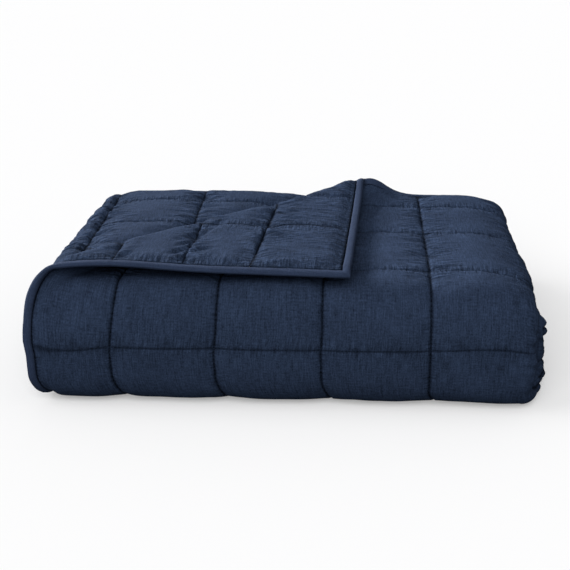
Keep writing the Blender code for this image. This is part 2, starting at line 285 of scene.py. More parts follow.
@dataclass(frozen=True)
class RightEndSizes:
    """How far the folds at the right end stand past each other."""

    allowance: float = 0.008         # kept free inside the stack's width
    inner_shift: float = 0.017       # of everything past the front bend
    shift_lead: float = 0.055        # where it starts, before the front bend's end
    shift_later: float = 0.015       # and how much later at the right
    half: float = 0.20               # from the middle to where the right end's shifts are full
    lower_shift: float = 0.010       # of the lowest layer
    lower_start: tuple[float, float] = (0.005, 0.040)    # from the front bend's end
    lower_fade: float = 0.10
    foot_tuck: float = 0.0030        # the lower corner is drawn in
    tuck_across: tuple[float, float] = (0.20, 0.29)
    tuck_lead: float = 0.006
    tuck_width: float = 0.026
    bulge: float = 0.0075            # the top layer swells out
    bulge_across: tuple[float, float] = (0.14, 0.28)
    bulge_share: float = 0.80        # of the top, where the swell is widest
    bulge_width: float = 0.075


@dataclass(frozen=True)
class SettleSizes:
    """How the stack sinks towards its sides, and how its pile springs back where nothing presses on it."""

    sides: tuple[tuple[Side, float, float], ...] = (  # the side, how far in it starts, share lost at the end
        (Side.RIGHT, 0.085, 0.130), (Side.LEFT, 0.140, 0.090), (Side.BACK, 0.060, 0.012))
    most: float = 1.2                # in reaches: a side sinks no further past this
    corner_drop: float = 0.045       # share lost in the back left corner as well
    spring_back: float = 0.112       # share of the height regained where the corner is turned away
    spring_reach: float = 0.080


@dataclass(frozen=True)
class LeanSizes:
    """How the hand-folded cloth runs off the square grid."""

    corner_fade: tuple[float, float] = (2.0 * CELL, 3.0 * CELL)      # the corner's seams end here, across
    under_tilt: float = 0.060        # slope of the inner leg's seams
    tilt_middle: float = 0.45        # about this distance past the half fold
    tilt_start: float = 0.2          # full at this share of the leg
    tilt_end: tuple[float, float] = (0.30, 0.30 + CELL)              # and gone past here, along
    front_rise: float = 0.0055       # the front seam is higher at the right and lower at the left edge
    front_width: float = 0.05
    front_right: tuple[float, float] = (0.44, 0.58)
    front_left: float = 0.10


@dataclass
class FoldPath:
    """The centreline of the pair of legs, seen from the side, as a function of the distance along it."""

    back_edge: float
    front_start: float
    back_fold: float
    leg_pitch: float
    front_bulge: float
    squareness: float
    foot_squareness: float
    inner_gap: float = 0.002
    points: list[tuple[float, float]] = field(default_factory=list)
    distances: list[float] = field(default_factory=list)
    marks: list[float] = field(default_factory=list)

    def __post_init__(self) -> None:
        """Lay out the runs and the folds between them, from the top back edge to the inner one."""
        pair = 2 * self.leg_pitch
        bottom, lower, upper, top = (pair * share for share in (0.5, 1.5, 2.5, 3.5))
        inner_front = self.front_start - self.front_bulge + 1.5 * pair + self.inner_gap
        self.add([(self.back_edge, top), (self.front_start, top)])
        self.add(self.front_bend(top, bottom))
        self.add([(self.front_start, bottom), (self.back_fold, bottom)])
        self.add(self.round_bend(self.back_fold, bottom, lower, Bend.BACK))
        self.add([(self.back_fold, lower), (inner_front, lower)])
        self.add(self.round_bend(inner_front, lower, upper, Bend.FRONT))
        self.add([(inner_front, upper), (self.back_edge, upper)])

    def front_bend(self, top: float, bottom: float, steps: int = 48) -> list[tuple[float, float]]:
        """The big front fold: a squared half round.

        Args:
            top: Height of the run that it leaves.
            bottom: Height of the run that it reaches.
            steps: Number of straight pieces.

        Returns:
            Its points y, z from the top down.
        """
        middle, half = (top + bottom) / 2, (top - bottom) / 2
        rows = []
        for step in range(steps + 1):
            angle = HALF_TURN / 2 - HALF_TURN * step / steps
            rise = math.sin(angle)
            power = 2 / (self.squareness if rise > 0 else self.foot_squareness)
            depth = max(math.cos(angle), 0.0) ** power
            rows.append((self.front_start - self.front_bulge * depth,
                         middle + half * math.copysign(abs(rise) ** power, rise)))
        return rows

    def round_bend(self, y: float, start: float, end: float, bend: Bend,
                   steps: int = 24) -> list[tuple[float, float]]:
        """A half round between two runs.

        Args:
            y: Where the runs end.
            start: Height of the run that it leaves.
            end: Height of the run that it reaches.
            bend: The way in which it bulges.
            steps: Number of straight pieces.

        Returns:
            Its points y, z in order.
        """
        middle, radius = (start + end) / 2, (end - start) / 2
        rows = []
        for step in range(steps + 1):
            angle = -HALF_TURN / 2 + HALF_TURN * step / steps
            rows.append((y + bend.value * radius * math.cos(angle), middle + radius * math.sin(angle)))
        return rows

    def add(self, rows: Iterable[tuple[float, float]]) -> None:
        """Join a stretch to the path, and mark the distance at which it ends.

        Args:
            rows: The stretch's points y, z, the first of which may be the path's last one.
        """
        for row in rows:
            gap = math.dist(row, self.points[-1]) if self.points else 0.0
            if self.points and gap < 1e-7:
                continue
            self.distances.append(self.distances[-1] + gap if self.points else 0.0)
            self.points.append(row)
        self.marks.append(self.distances[-1])

    def direction(self, index: int) -> tuple[float, float]:
        """The direction of one straight piece of the path.

        Args:
            index: The piece's number.

        Returns:
            Its unit direction y, z.
        """
        start, end = self.points[index], self.points[index + 1]
        span = math.dist(start, end)
        return (end[0] - start[0]) / span, (end[1] - start[1]) / span

    def at(self, along: float) -> tuple[float, float, float, float]:
        """Where the path is at a distance along it.

        Args:
            along: The distance, which may lie before the path's start or past its end.

        Returns:
            The place y, z, and the unit normal there, which faces out of the stack.
        """
        index = min(max(bisect_right(self.distances, along) - 1, 0), len(self.points) - 2)
        start, end = self.points[index], self.points[index + 1]
        share = (along - self.distances[index]) / (self.distances[index + 1] - self.distances[index])
        here = self.direction(index)
        before = self.direction(index - 1) if index else here
        after = self.direction(index + 1) if index + 2 < len(self.points) else here
        mix = min(max(share, 0.0), 1.0)
        towards = [((1 - mix) * (before[k] + here[k]) + mix * (here[k] + after[k])) / 2 for k in range(2)]
        size = math.hypot(*towards)
        place = [start[k] + share * (end[k] - start[k]) for k in range(2)]
        return place[0], place[1], towards[1] / size, -towards[0] / size


@dataclass
class FoldPlan:
    """How the flat panel is folded into its stack, from the same driving sizes as its solid."""

    cloth: ClothSizes = ClothSizes()
    corner: CornerSizes = CornerSizes()
    tip: TipSizes = TipSizes()
    left: LeftEndSizes = LeftEndSizes()
    right: RightEndSizes = RightEndSizes()
    settling: SettleSizes = SettleSizes()
    lean: LeanSizes = LeanSizes()
    stand: tuple[float, float] = (-0.00277, 0.00025)     # the middle of the stack's foot
    width: float = 4.86 * CELL
    depth: float = 3.61 * CELL
    front_bulge: float = 0.040
    squareness: float = 2.5          # of the front bend: 2 is an ellipse, more is squarer
    foot_squareness: float = 3.5     # and of its lower half
    leg_skew: float = 0.070          # the inner leg runs back by this share of its distance from the fold
    foot_shows: float = 0.012        # how far past the front bend the cloth is drawn as an outside
    front_seam: float = 3.33         # the seam along the front, and past it they are one cell apart
    last_cell: float = 1.2           # a seam is added while more cells than this are left
    long_rows: tuple[LongSeam, ...] = (
        LongSeam(0.74, 1.20), LongSeam(1.72, 2.22), LongSeam(2.71, 2.80), LongSeam(3.71, 3.71),
        LongSeam(4.70, 4.70))
    cross_rows: tuple[CrossSeam, ...] = (
        CrossSeam(0.86, 0.49, 0.42, -0.03), CrossSeam(1.50, 1.36, 1.17, 0.02),
        CrossSeam(2.16, 2.48, 1.95, 0.05))
    inner_seams: tuple[float, ...] = (0.25, 1.26, 2.40, 3.40)

    def __post_init__(self) -> None:
        """Work out every place that the fold needs from the driving sizes."""
        cloth = self.cloth
        edge = cloth.binding_width + cloth.clearance
        self.origin = Vector((*self.stand, 0.0))
        self.leg_radius = cloth.leg_pitch / 2
        self.left_end = -self.width / 2 + edge
        self.right_fold = self.width / 2 - cloth.leg_pitch - self.right.allowance
        self.leg_run = self.right_fold - self.left_end
        self.fold_arc = HALF_TURN * self.leg_radius
        self.inner_start = self.leg_run + self.fold_arc
        self.panel_width = 2 * self.leg_run + self.fold_arc
        self.front_start = -self.depth / 2 + self.front_bulge + cloth.leg_pitch
        self.back_edge = self.depth / 2 - edge - self.leg_skew * self.width
        self.foot = cloth.leg_pitch - self.leg_radius - cloth.crown / 2
        self.diagonal = math.hypot(self.corner.back, self.corner.left)
        self.diagonal_x = self.corner.left / self.diagonal
        self.diagonal_y = self.corner.back / self.diagonal
        self.path = FoldPath(self.back_edge, self.front_start, self.depth / 2 - 2 * cloth.leg_pitch,
                             cloth.leg_pitch, self.front_bulge, self.squareness, self.foot_squareness)
        (self.top_end, self.front_end, self.bottom_end, self.back_end, self.lower_end,
         self.inner_front_end, self.panel_length) = self.path.marks
        self.inside_start = self.front_end + self.foot_shows
        self.lay_seams()

    def lay_seams(self) -> None:
        """Work out where each seam lies on the square grid, and how far it runs off it."""
        self.long_seams = ([CELL * row.flat for row in self.long_rows]
                           + sorted(self.panel_width - CELL * place for place in self.inner_seams))
        self.cross_seams = [CELL * row.right for row in self.cross_rows] + [CELL * self.front_seam]
        while self.cross_seams[-1] + self.last_cell * CELL < self.panel_length:
            self.cross_seams.append(self.cross_seams[-1] + CELL)
        self.across_shift = [(0.0, 0.0)] + [(CELL * row.flat, CELL * (row.corner - row.flat))
                                            for row in self.long_rows]
        self.corner_shift, self.under_shift, self.corner_slant = (
            list(zip([0.0, *self.cross_seams], [0.0, *values, 0.0])) for values in (
                [CELL * (row.corner - row.right) for row in self.cross_rows],
                [CELL * (row.under - row.right) for row in self.cross_rows],
                [row.slant for row in self.cross_rows]))

    def past_diagonal(self, across: float, along: float) -> float:
        """How far a place on the cloth is past the diagonal, towards the turned-back corner."""
        return self.diagonal_x * (self.corner.back - across) - self.diagonal_y * along

    def on_front_left(self, across: float, along: float) -> float:
        """Where the fuller binding is, down the front's left edge.

        Args:
            across: Place on the square grid, along the width.
            along: Place on the square grid, along the length.

        Returns:
            1 at that edge and 0 away from it.
        """
        left = self.left
        down = ramp(along - self.corner.left, *left.welt_start)
        under = ramp(along, self.front_end, self.front_end + left.welt_fade)
        return down * (1 - under) * (1 - smooth_step(across / left.welt_width))

    def on_ridge(self, across: float, along: float) -> float:
        """1 along the diagonal where the corner turns back, and 0 away from it."""
        return bell(self.past_diagonal(*self.leaning(across, along)), self.corner.ridge_width)

    def in_corner(self, along: float) -> float:
        """1 where the seams lie as in the turned-back corner, and 0 where they lie flat."""
        return 1 - ramp(along, self.corner.flat_share * self.corner.left, self.corner.left)

    def leaning(self, across: float, along: float) -> tuple[float, float]:
        """Move a point of the square grid to where the hand-folded cloth has it.

        Args:
            across: Place on the square grid, along the width.
            along: Place on the square grid, along the length.

        Returns:
            The same two places on the cloth.
        """
        lean, moved_across = self.lean, across
        if across < self.leg_run:
            moved_across += between(across, self.across_shift) * self.in_corner(along)
        to_corner = 1 - ramp(across, *lean.corner_fade)
        past_fold = across - self.inner_start
        to_under = max(past_fold, 0.0) / self.leg_run
        tilt = lean.under_tilt * (past_fold - lean.tilt_middle) * smooth_step(to_under / lean.tilt_start)
        moved_along = (along + tilt * smooth_step(along / CELL) * (1 - ramp(along, *lean.tilt_end))
                       + to_corner * between(along, self.corner_shift)
                       + to_corner * between(along, self.corner_slant) * across
                       + to_under * between(along, self.under_shift))
        if across < self.inner_start:
            at_ends = ramp(across, *lean.front_right) + smooth_step(across / lean.front_left) - 1
            moved_along -= lean.front_rise * bell(along - CELL * self.front_seam, lean.front_width) * at_ends
        return moved_across, moved_along

    def half_fold(self, across: float, lift: float) -> tuple[float, float]:
        """Fold the width in half.

        Args:
            across: Distance along the cloth's width.
            lift: Distance out of the middle of the cloth.

        Returns:
            Place x, and the offset from the centreline of the pair of legs.
        """
        if across <= self.leg_run:
            return self.left_end + across, self.leg_radius + lift
        turn = (across - self.leg_run) / self.leg_radius
        if turn >= HALF_TURN:
            return self.right_fold - (across - self.inner_start), -self.leg_radius - lift
        radius = self.leg_radius + lift
        return self.right_fold + radius * math.sin(turn), radius * math.cos(turn)

    def turned_corner(self, x: float, along: float, offset: float) -> tuple[float, float, float, float]:
        """Fold the outer leg over the diagonal from its left edge to its back edge.

        Args:
            x: Place along the stack's width.
            along: Distance along the path from the back edge.
            offset: Distance from the centreline of the pair of legs.

        Returns:
            The three values after the fold, and how far the cloth has turned, from 0 to 1.
        """
        corner, place = self.corner, x - self.left_end
        past = self.past_diagonal(place, along)
        travel = self.diagonal_y * place + self.diagonal_x * (corner.left - along)
        share = travel / self.diagonal
        radius = (corner.radius + corner.left_extra * smooth_step(1 - share / corner.left_part)
                  + corner.back_extra * ramp(share, 1 - corner.back_part, 1.0))
        start = -HALF_TURN * radius / 2
        lift = offset - self.leg_radius
        turn = min(max((past - start) / radius, 0.0), HALF_TURN)
        reach = start + (radius - lift) * math.sin(turn)
        height = radius - (radius - lift) * math.cos(turn)
        if past <= start:
            reach = past
        elif turn >= HALF_TURN:
            reach = -past
        place = travel * self.diagonal_y - reach * self.diagonal_x
        along = corner.left - travel * self.diagonal_x - reach * self.diagonal_y
        swing = corner.swing * smooth_step(1 - (start - past) / corner.swing_fade)
        tip = 2 * corner.back * corner.left / self.diagonal
        x = self.left_end + place + swing * (tip * self.diagonal_y - along)
        along -= swing * (tip * self.diagonal_x - place)
        return x, along, self.leg_radius + height, (1 - math.cos(turn)) / 2

    def raised_tip(self, x: float, along: float, offset: float, turned: float) -> tuple[float, float]:
        """Stand the cloth off the stack at the diagonal's back end, and curl its bound edge up there.

        Args:
            x: Place along the stack's width.
            along: Distance along the path from the back edge.
            offset: Distance from the centreline of the pair of legs.
            turned: How far the cloth has turned back, from 0 to 1.

        Returns:
            The distance along and the offset after it.
        """
        tip, corner = self.tip, self.corner
        past_peak = x - self.left_end - corner.back - tip.step
        reach = tip.reach * (tip.left_share if past_peak < 0 else 1.0)
        away = math.hypot(past_peak / reach, along / (tip.front_share * tip.reach))
        offset += tip.lift * math.exp(-2 * away * away)
        rise = (1 - turned) * bell(past_peak - tip.curl_step, tip.curl_width)
        rise *= math.exp(-max(along + self.cloth.binding_width, 0.0) / tip.curl_depth)
        offset += tip.curl * rise
        offset += corner.edge_lift * turned * ramp(along, corner.left - corner.edge_reach, corner.left)
        return along + tip.curl_lean * rise, offset

    def settle(self, x: float, y: float, z: float) -> Vector:
        """Let the stack sink towards its sides, with its foot still flat, and rise where it is relieved.

        Args:
            x: Place along the stack's width.
            y: Place along its depth.
            z: Height over the floor before it sinks.

        Returns:
            The settled place, measured from where the stack stands.
        """
        sizes = self.settling
        past_side = {Side.RIGHT: x - self.width / 2, Side.LEFT: -self.width / 2 - x,
                     Side.BACK: y - self.depth / 2}
        share, corner = 1.0, sizes.corner_drop
        for side, reach, drop in sizes.sides:
            inside = min(max(past_side[side] + reach, 0.0) / reach, sizes.most)
            share -= drop * inside ** 2
            corner *= 1 if side is Side.RIGHT else inside
        share -= corner
        past_corner = self.past_diagonal(x - self.left_end, self.back_edge - y)
        share += sizes.spring_back * smooth_step((past_corner - self.corner.radius / 2) / sizes.spring_reach)
        return Vector((x, y, z * share)) - self.origin

    def hang_over(self, x: float, along: float, offset: float) -> tuple[float, float]:
        """Draw the inner leg out past the stack's left end on the top run, and roll its edge down.

        Args:
            x: Place along the stack's width.
            along: Distance along the path from the back edge.
            offset: Distance from the centreline of the pair of legs.

        Returns:
            Place x and the offset after the roll.
        """
        left = self.left
        share = 1 - ramp(along, *left.overhang_end)
        reach = left.overhang * (left.overhang_start
                                 + left.overhang_gain * min(max(along, 0.0), left.overhang_full))
        x -= reach * share * max(1 - (x - self.left_end) / left.draw, 0.0) ** 2
        top = self.left_end - reach * share + left.roll_start * left.roll
        over = (top - x) / left.roll
        over *= left.back_roll + (1 - left.back_roll) * smooth_step(along / left.back_roll_end)
        if over <= 0 or share <= 0:
            return x, offset
        radius = left.roll + self.leg_radius + offset
        rolled_x = top - radius * math.sin(over)
        rolled_offset = offset - radius * (1 - math.cos(over))
        return x + share * (rolled_x - x), offset + share * (rolled_offset - offset)

    def bow(self, across: float, along: float) -> float:
        """How far the cloth beside the left edge is drawn to the right on its way down the front.

        Args:
            across: Distance from the left bound edge.
            along: Distance along the path from the back edge.

        Returns:
            The shift to the right, below 0 where it is drawn to the left.
        """
        left = self.left
        bow = between((along - self.top_end) / (self.front_end - self.top_end), left.bow_rows)
        reach = left.bow_reach_in if bow > 0 else left.bow_reach_out
        return bow * smooth_step(across / left.bow_edge) * (1 - ramp(across, reach - left.bow_fade, reach))

    def dip(self, x: float, along: float) -> float:
        """The dip beside the turned-back corner's left end.

        Args:
            x: Place along the stack's width.
            along: Distance along the path from the back edge.

        Returns:
            Its depth at that place.
        """
        left = self.left
        away = math.hypot((x - self.left_end - left.dip_across) / left.dip_width,
                          (along - self.top_end - left.dip_along) / left.dip_length)
        return left.dip * smooth_step(left.dip_steepness * (1 - away)) if along < self.front_end else 0.0

    def reach_right(self, x: float, along: float) -> float:
        """Let the folds at the right end stand past each other.

        Args:
            x: Place along the stack's width.
            along: Distance along the path from the back edge.

        Returns:
            Place x after the shifts.
        """
        right, foot = self.right, self.front_end
        lead = right.shift_lead - right.shift_later * smooth_step(x / right.half)
        x += right.inner_shift * ramp(along, foot - lead, foot)
        x += (right.lower_shift * smooth_step(x / right.half)
              * ramp(along - foot, *right.lower_start)
              * (1 - ramp(along, self.bottom_end - right.lower_fade, self.bottom_end)))
        x -= (right.foot_tuck * ramp(x, *right.tuck_across)
              * bell(along - foot + right.tuck_lead, right.tuck_width))
        x += (right.bulge * ramp(x, *right.bulge_across)
              * bell(along - right.bulge_share * self.top_end, right.bulge_width))
        return x

    def fold(self, across: float, along: float, lift: float) -> Vector:
        """Take a point of the flat cloth to its place in the folded stack.

        Args:
            across: Distance along the cloth's width.
            along: Distance along its length.
            lift: Distance out of the middle of the cloth.

        Returns:
            The point.
        """
        x, offset = self.half_fold(across, lift)
        free = turned = 0.0
        if across > self.leg_run:
            skew = self.leg_skew * (1 - ramp(along, self.top_end, self.front_end))
            along -= skew * (self.right_fold - x) * smooth_step((across - self.leg_run) / self.fold_arc)
            if along < self.top_end:
                x, offset = self.hang_over(x, along, offset)
        else:
            x += self.bow(across, along)
            if along < (self.top_end + self.front_end) / 2:
                x, along, offset, turned = self.turned_corner(x, along, offset)
                free = self.corner.stiffness * turned
                along, offset = self.raised_tip(x, along, offset, turned)
        offset -= self.dip(x, along) * (1 - turned)
        y, z, normal_y, normal_z = self.path.at(along)
        y += offset * normal_y
        z += offset * normal_z
        y += free * (self.back_edge - along - y)
        z += free * (self.path.points[0][1] + offset - z)
        place = self.settle(self.reach_right(x, along), y, z - self.foot)
        place.z = max(place.z, 0.0)
        return place


@dataclass(frozen=True)
class Relief:
    """How the sewn cotton draws up: puckers at seams, gathers at the binding and soft swells between."""

    valley: float = 0.50             # power of the crown, below 1 where the valley at a seam is narrow
    cross_valley: float = 0.8        # the same at seams across, as a share of it
    row_share: float = 0.62          # how deep the seams across are, against the ones along
    front_share: float = 0.22        # and down the front
    front_ramp: tuple[float, float] = (0.34, 0.38)
    drag_pitch: float = 0.0088
    drag_height: float = 0.0042
    drag_reach: float = 0.030
    drag_start: float = 0.003        # a drag line is full this far from its seam
    drag_on_turned: float = 2.2
    nip_pitch: float = 0.0056
    nip_height: float = 0.0013
    nip_reach: float = 0.0065
    nip_start: float = 0.0015
    nip_length: float = 0.02
    gather_pitch: float = 0.0080
    gather_height: float = 0.0028
    gather_reach: float = 0.026
    gather_start: float = 0.004
    left_share: float = 0.6          # of the gathers along the left edge
    left_narrow: float = 2.2         # and how much shorter they are
    far_fade: float = 0.04           # the gathers grow slight past the turned-back corner
    far_loss: float = 0.8
    swell_pitch: float = 0.050
    swell_height: float = 0.0013
    swell_finer: float = 2.1         # how much finer the second noise is
    crumple_pitch: float = 0.016
    crumple_length: float = 2.5      # across, in pitches
    crumple_height: float = 0.0040
    crumple_finer: float = 2.3
    limit: float = 2.5               # a seam's wrinkles end at this many times their reach
    wave_wander: float = 0.9         # how far a wave strays from its straight line as it leaves the seam
    wander_pitch: float = 0.06
    wave_length: float = 5.0         # away from the seam, in pitches
    broad_pitch: float = 2.2         # of the broader waves, in pitches, as the rest of these are
    broad_length: float = 7.0
    broad_height: float = 0.8
    gust_pitch: float = 6.0          # some stretches of a seam are drawn up more than others
    gust_least: float = 0.6
    gust_more: float = 0.8
    front_start: tuple[float, float] = (-0.01, 0.04)     # the front's own wrinkles begin here
    front_drag: float = 0.15         # share of the drag lines that is left down the front
    top_nip: float = 0.5             # share of the nips on the top
    turned_valley: float = 0.40      # depth of the valleys along on the turned-back corner
    inner_valley: float = 0.35       # and on the inner leg at its back edge
    inner_reach: float = 0.05
    inner_rim: tuple[float, float] = (0.02, 0.06)    # its seams across fade here, near its bound edge
    foot_fill: tuple[float, float] = (-0.036, -0.006)    # the valleys end here before the front bend's end
    bottom_fade: float = 0.01
    ridge_loss: float = 0.85         # share of the wrinkles that the turned-back fold pulls flat
    ridge_fill: float = 0.75         # and of the seams' valleys

    def waves(self, run: float, off: float, pitch: float, seed: float) -> float:
        """Uneven waves that follow each other along a seam and keep their line away from it.

        Args:
            run: Distance along the seam.
            off: Distance from it.
            pitch: About how far apart the waves are.
            seed: Where in the noise they are read.

        Returns:
            Their height, between about -1 and 1.
        """
        wander = noise.noise(Vector((run / self.wander_pitch, SeedStep.WANDER.value, seed)))
        bent = run + self.wave_wander * off * wander
        first = noise.noise(Vector((bent / pitch, off / (self.wave_length * pitch), seed)))
        broad = noise.noise(Vector((bent / (self.broad_pitch * pitch), off / (self.broad_length * pitch),
                                    seed + SeedStep.BROAD_WAVE.value)))
        gust = noise.noise(Vector((run / (self.gust_pitch * pitch), 0.0, seed + SeedStep.GUST.value)))
        strong = self.gust_least + self.gust_more * abs(gust)
        return strong * (first + self.broad_height * broad)

    def seam_drag(self, run: float, off: float, seed: float) -> float:
        """Long soft drag lines that leave a seam at right angles."""
        share = bell(off, self.drag_reach) * smooth_step(abs(off) / self.drag_start)
        return self.drag_height * share * self.waves(run, off, self.drag_pitch, seed)

    def seam_nip(self, run: float, off: float, seed: float) -> float:
        """Short nips where single stitches pull at the lips of a seam.

        Args:
            run: Distance along the seam.
            off: Distance from it.
            seed: Where in the noise they are read.

        Returns:
            Their height.
        """
        share = bell(off, self.nip_reach) * smooth_step(abs(off) / self.nip_start)
        nip = noise.noise(Vector((run / self.nip_pitch, off / self.nip_length, seed)))
        return self.nip_height * share * nip

    def rim_gather(self, run: float, inset: float, seed: Seed) -> float:
        """Height of the gathers that the binding draws the cloth into."""
        share = bell(inset, self.gather_reach) * smooth_step(inset / self.gather_start)
        return self.gather_height * share * self.waves(run, inset, self.gather_pitch, seed.value)

    def swell(self, across: float, along: float, seed: float) -> float:
        """Broad soft swells where the fill lies unevenly."""
        place = Vector((across / self.swell_pitch, along / self.swell_pitch, seed))
        return self.swell_height * two_noises(place, self.swell_finer)

    def crumple(self, across: float, along: float) -> float:
        """Deep soft creases where the inner folds are squeezed at their ends.

        Args:
            across: Place on the square grid, along the width.
            along: Place on the square grid, along the length.

        Returns:
            Their height.
        """
        broad = self.crumple_length * self.crumple_pitch
        place = Vector((across / broad, along / self.crumple_pitch, Seed.CRUMPLE.value))
        return self.crumple_height * two_noises(place, self.crumple_finer)


@dataclass(frozen=True)
class FineReach:
    """How far past what shows the cloth is made fine and wrinkled."""

    right_end: float = 0.045         # each side of the right end's middle
    under_foot: float = 0.13         # past the front bend
    inner_bend: float = 0.12         # each side of a place near the inner bend
    inner_bend_lead: float = 0.03
    covered_edge: float = 0.04       # the turned corner covers the outer face up to here
    covered_past: float = 0.03       # and this far before the diagonal
    outer_past: float = 0.035        # the outer face, past the diagonal
    inner_before: float = 0.025      # the inner face, before it
    lower_before: float = 0.07       # the leg under the corner, before it


@dataclass
class QuiltedPanel:
    """The quilted cloth, closed round its rim, with its fill crowned in every cell."""

    plan: FoldPlan
    relief: Relief = Relief()
    reach: FineReach = FineReach()
    fine: float = 0.0104
    inner_fine: float = 0.0130
    coarse: float = 0.022
    half_fold_step: float = 0.006
    bend_step: float = 0.0075
    cuts: int = 3
    crown_power: float = 2.8
    rim_fade: float = 0.005

    def lines(self, seams: Sequence[float], start: float, end: float, step: float) -> list[float]:
        """Even lines between two places, with one on each seam.

        Args:
            seams: The seams' places.
            start: Where the lines start.
            end: Where they end, without a line there.
            step: The spacing that they come near to.

        Returns:
            The places of the lines, in order.
        """
        edges = [start] + [seam for seam in seams if start < seam < end] + [end]
        places: list[float] = []
        for low, high in zip(edges, edges[1:]):
            count = max(1, round((high - low) / step))
            places += [low + (high - low) * number / count for number in range(count)]
        return places

    def across_lines(self) -> list[float]:
        """The lines that run along the length, fine on the outer leg and round the fold.

        Returns:
            Their places across, in order.
        """
        plan = self.plan
        return (self.lines(plan.long_seams, 0.0, plan.leg_run, self.fine)
                + self.lines([], plan.leg_run, plan.inner_start, self.half_fold_step)
                + self.lines(plan.long_seams, plan.inner_start, plan.panel_width, self.inner_fine)
                + [plan.panel_width])

    def along_lines(self) -> list[float]:
        """The lines that run across, fine on the top and the front and coarse inside the stack.

        Returns:
            Their places along, in order.
        """
        plan = self.plan
        return (self.lines(plan.cross_seams, 0.0, plan.front_end, self.fine)
                + self.lines(plan.cross_seams, plan.front_end, plan.bottom_end, self.coarse)
                + self.lines([], plan.bottom_end, plan.back_end, self.bend_step)
                + self.lines(plan.cross_seams, plan.back_end, plan.lower_end, self.coarse)
                + self.lines([], plan.lower_end, plan.inner_front_end, self.bend_step)
                + self.lines(plan.cross_seams, plan.inner_front_end, plan.panel_length, self.coarse)
                + [plan.panel_length])

    def turned_face(self, across: float, face: Face) -> bool:
        """Whether a place is on the outer leg's inner face, which shows where the corner is turned back."""
        return face is Face.INNER and across < self.plan.leg_run

    def shows(self, across: float, along: float, face: Face) -> bool:
        """Whether a place on a face of the cloth is anywhere near the light.

        Args:
            across: Place on the square grid, along the width.
            along: Place on the square grid, along the length.
            face: Which face of the cloth.

        Returns:
            True where the cloth is made fine and wrinkled.
        """
        plan, reach = self.plan, self.reach
        if along > plan.inside_start:
            end = abs(across - plan.leg_run - plan.fold_arc / 2) < reach.right_end
            near = (along < plan.front_end + reach.under_foot
                    or abs(along - plan.inner_front_end + reach.inner_bend_lead) < reach.inner_bend)
            return end and near and face is Face.OUTER
        past = plan.past_diagonal(across, along)
        if face is Face.OUTER:
            within = max(across, along) < plan.corner.left - reach.covered_edge
            covered = within and past < -reach.covered_past
            return across < plan.inner_start and not covered and past < reach.outer_past
        if across < plan.leg_run:
            return past > -reach.inner_before
        return plan.past_diagonal(plan.panel_width - across, along) > -reach.lower_before

    def puff(self, across: float, along: float, face: Face) -> float:
        """How full the cloth is.

        Args:
            across: Place on the square grid, along the width.
            along: Place on the square grid, along the length.
            face: Which face of the cloth.

        Returns:
            0 at a seam and 1 in the middle of a cell.
        """
        plan, relief = self.plan, self.relief
        long_way = self.crown(across, plan.long_seams, plan.panel_width) ** relief.valley
        cross_way = (self.crown(along, plan.cross_seams, plan.panel_length)
                     ** (relief.cross_valley * relief.valley))
        depth = relief.row_share + (relief.front_share - relief.row_share) * ramp(along, *relief.front_ramp)
        if across > plan.inner_start:
            depth *= ramp(plan.panel_width - across, *relief.inner_rim)
            away = relief.inner_valley + (1 - relief.inner_valley) * smooth_step(along / relief.inner_reach)
            long_way = 1 + (long_way - 1) * away
        turned = self.turned_face(across, face)
        if turned:
            long_way, depth = 1 + relief.turned_valley * (long_way - 1), 1.0
        full = long_way * (1 + (cross_way - 1) * depth)
        if turned:
            full += (1 - full) * relief.ridge_fill * plan.on_ridge(across, along)
        elif across < plan.leg_run:
            under = ramp(along - plan.front_end, *relief.foot_fill)
            under *= 1 - ramp(along, plan.bottom_end, plan.bottom_end + relief.bottom_fade)
            full += (1 - full) * under
        return full

    def crown(self, place: float, seams: Sequence[float], length: float) -> float:
        """How far a place stands up out of the valleys at the seams.

        Args:
            place: Place on the square grid, along one of its sides.
            seams: The seams that cross that side.
            length: The side's length.

        Returns:
            0 on a seam or the rim and 1 in the middle of a cell.
        """
        edges = [0.0, *seams, length]
        index = min(max(bisect_right(edges, place) - 1, 0), len(edges) - 2)
        share = (place - edges[index]) / (edges[index + 1] - edges[index])
        return 1 - abs(2 * min(max(share, 0.0), 1.0) - 1) ** self.crown_power

    def inset(self, across: float, along: float) -> float:
        """Distance to the nearest part of the rim."""
        return min(across, self.plan.panel_width - across, along, self.plan.panel_length - along)

    def half_thickness(self, across: float, along: float, face: Face) -> float:
        """The cloth's thickness, with no wrinkles on it.

        Args:
            across: Place on the square grid, along the width.
            along: Place on the square grid, along the length.
            face: Which face of the cloth.

        Returns:
            The distance from the middle of the cloth to that face.
        """
        cloth = self.plan.cloth
        thick = cloth.seam + (cloth.crown - cloth.seam) * self.puff(across, along, face)
        taper = cloth.rim_taper * (1 + cloth.front_taper * self.plan.on_front_left(across, along))
        return (cloth.rim + (thick - cloth.rim) * smooth_step(self.inset(across, along) / taper)) / 2

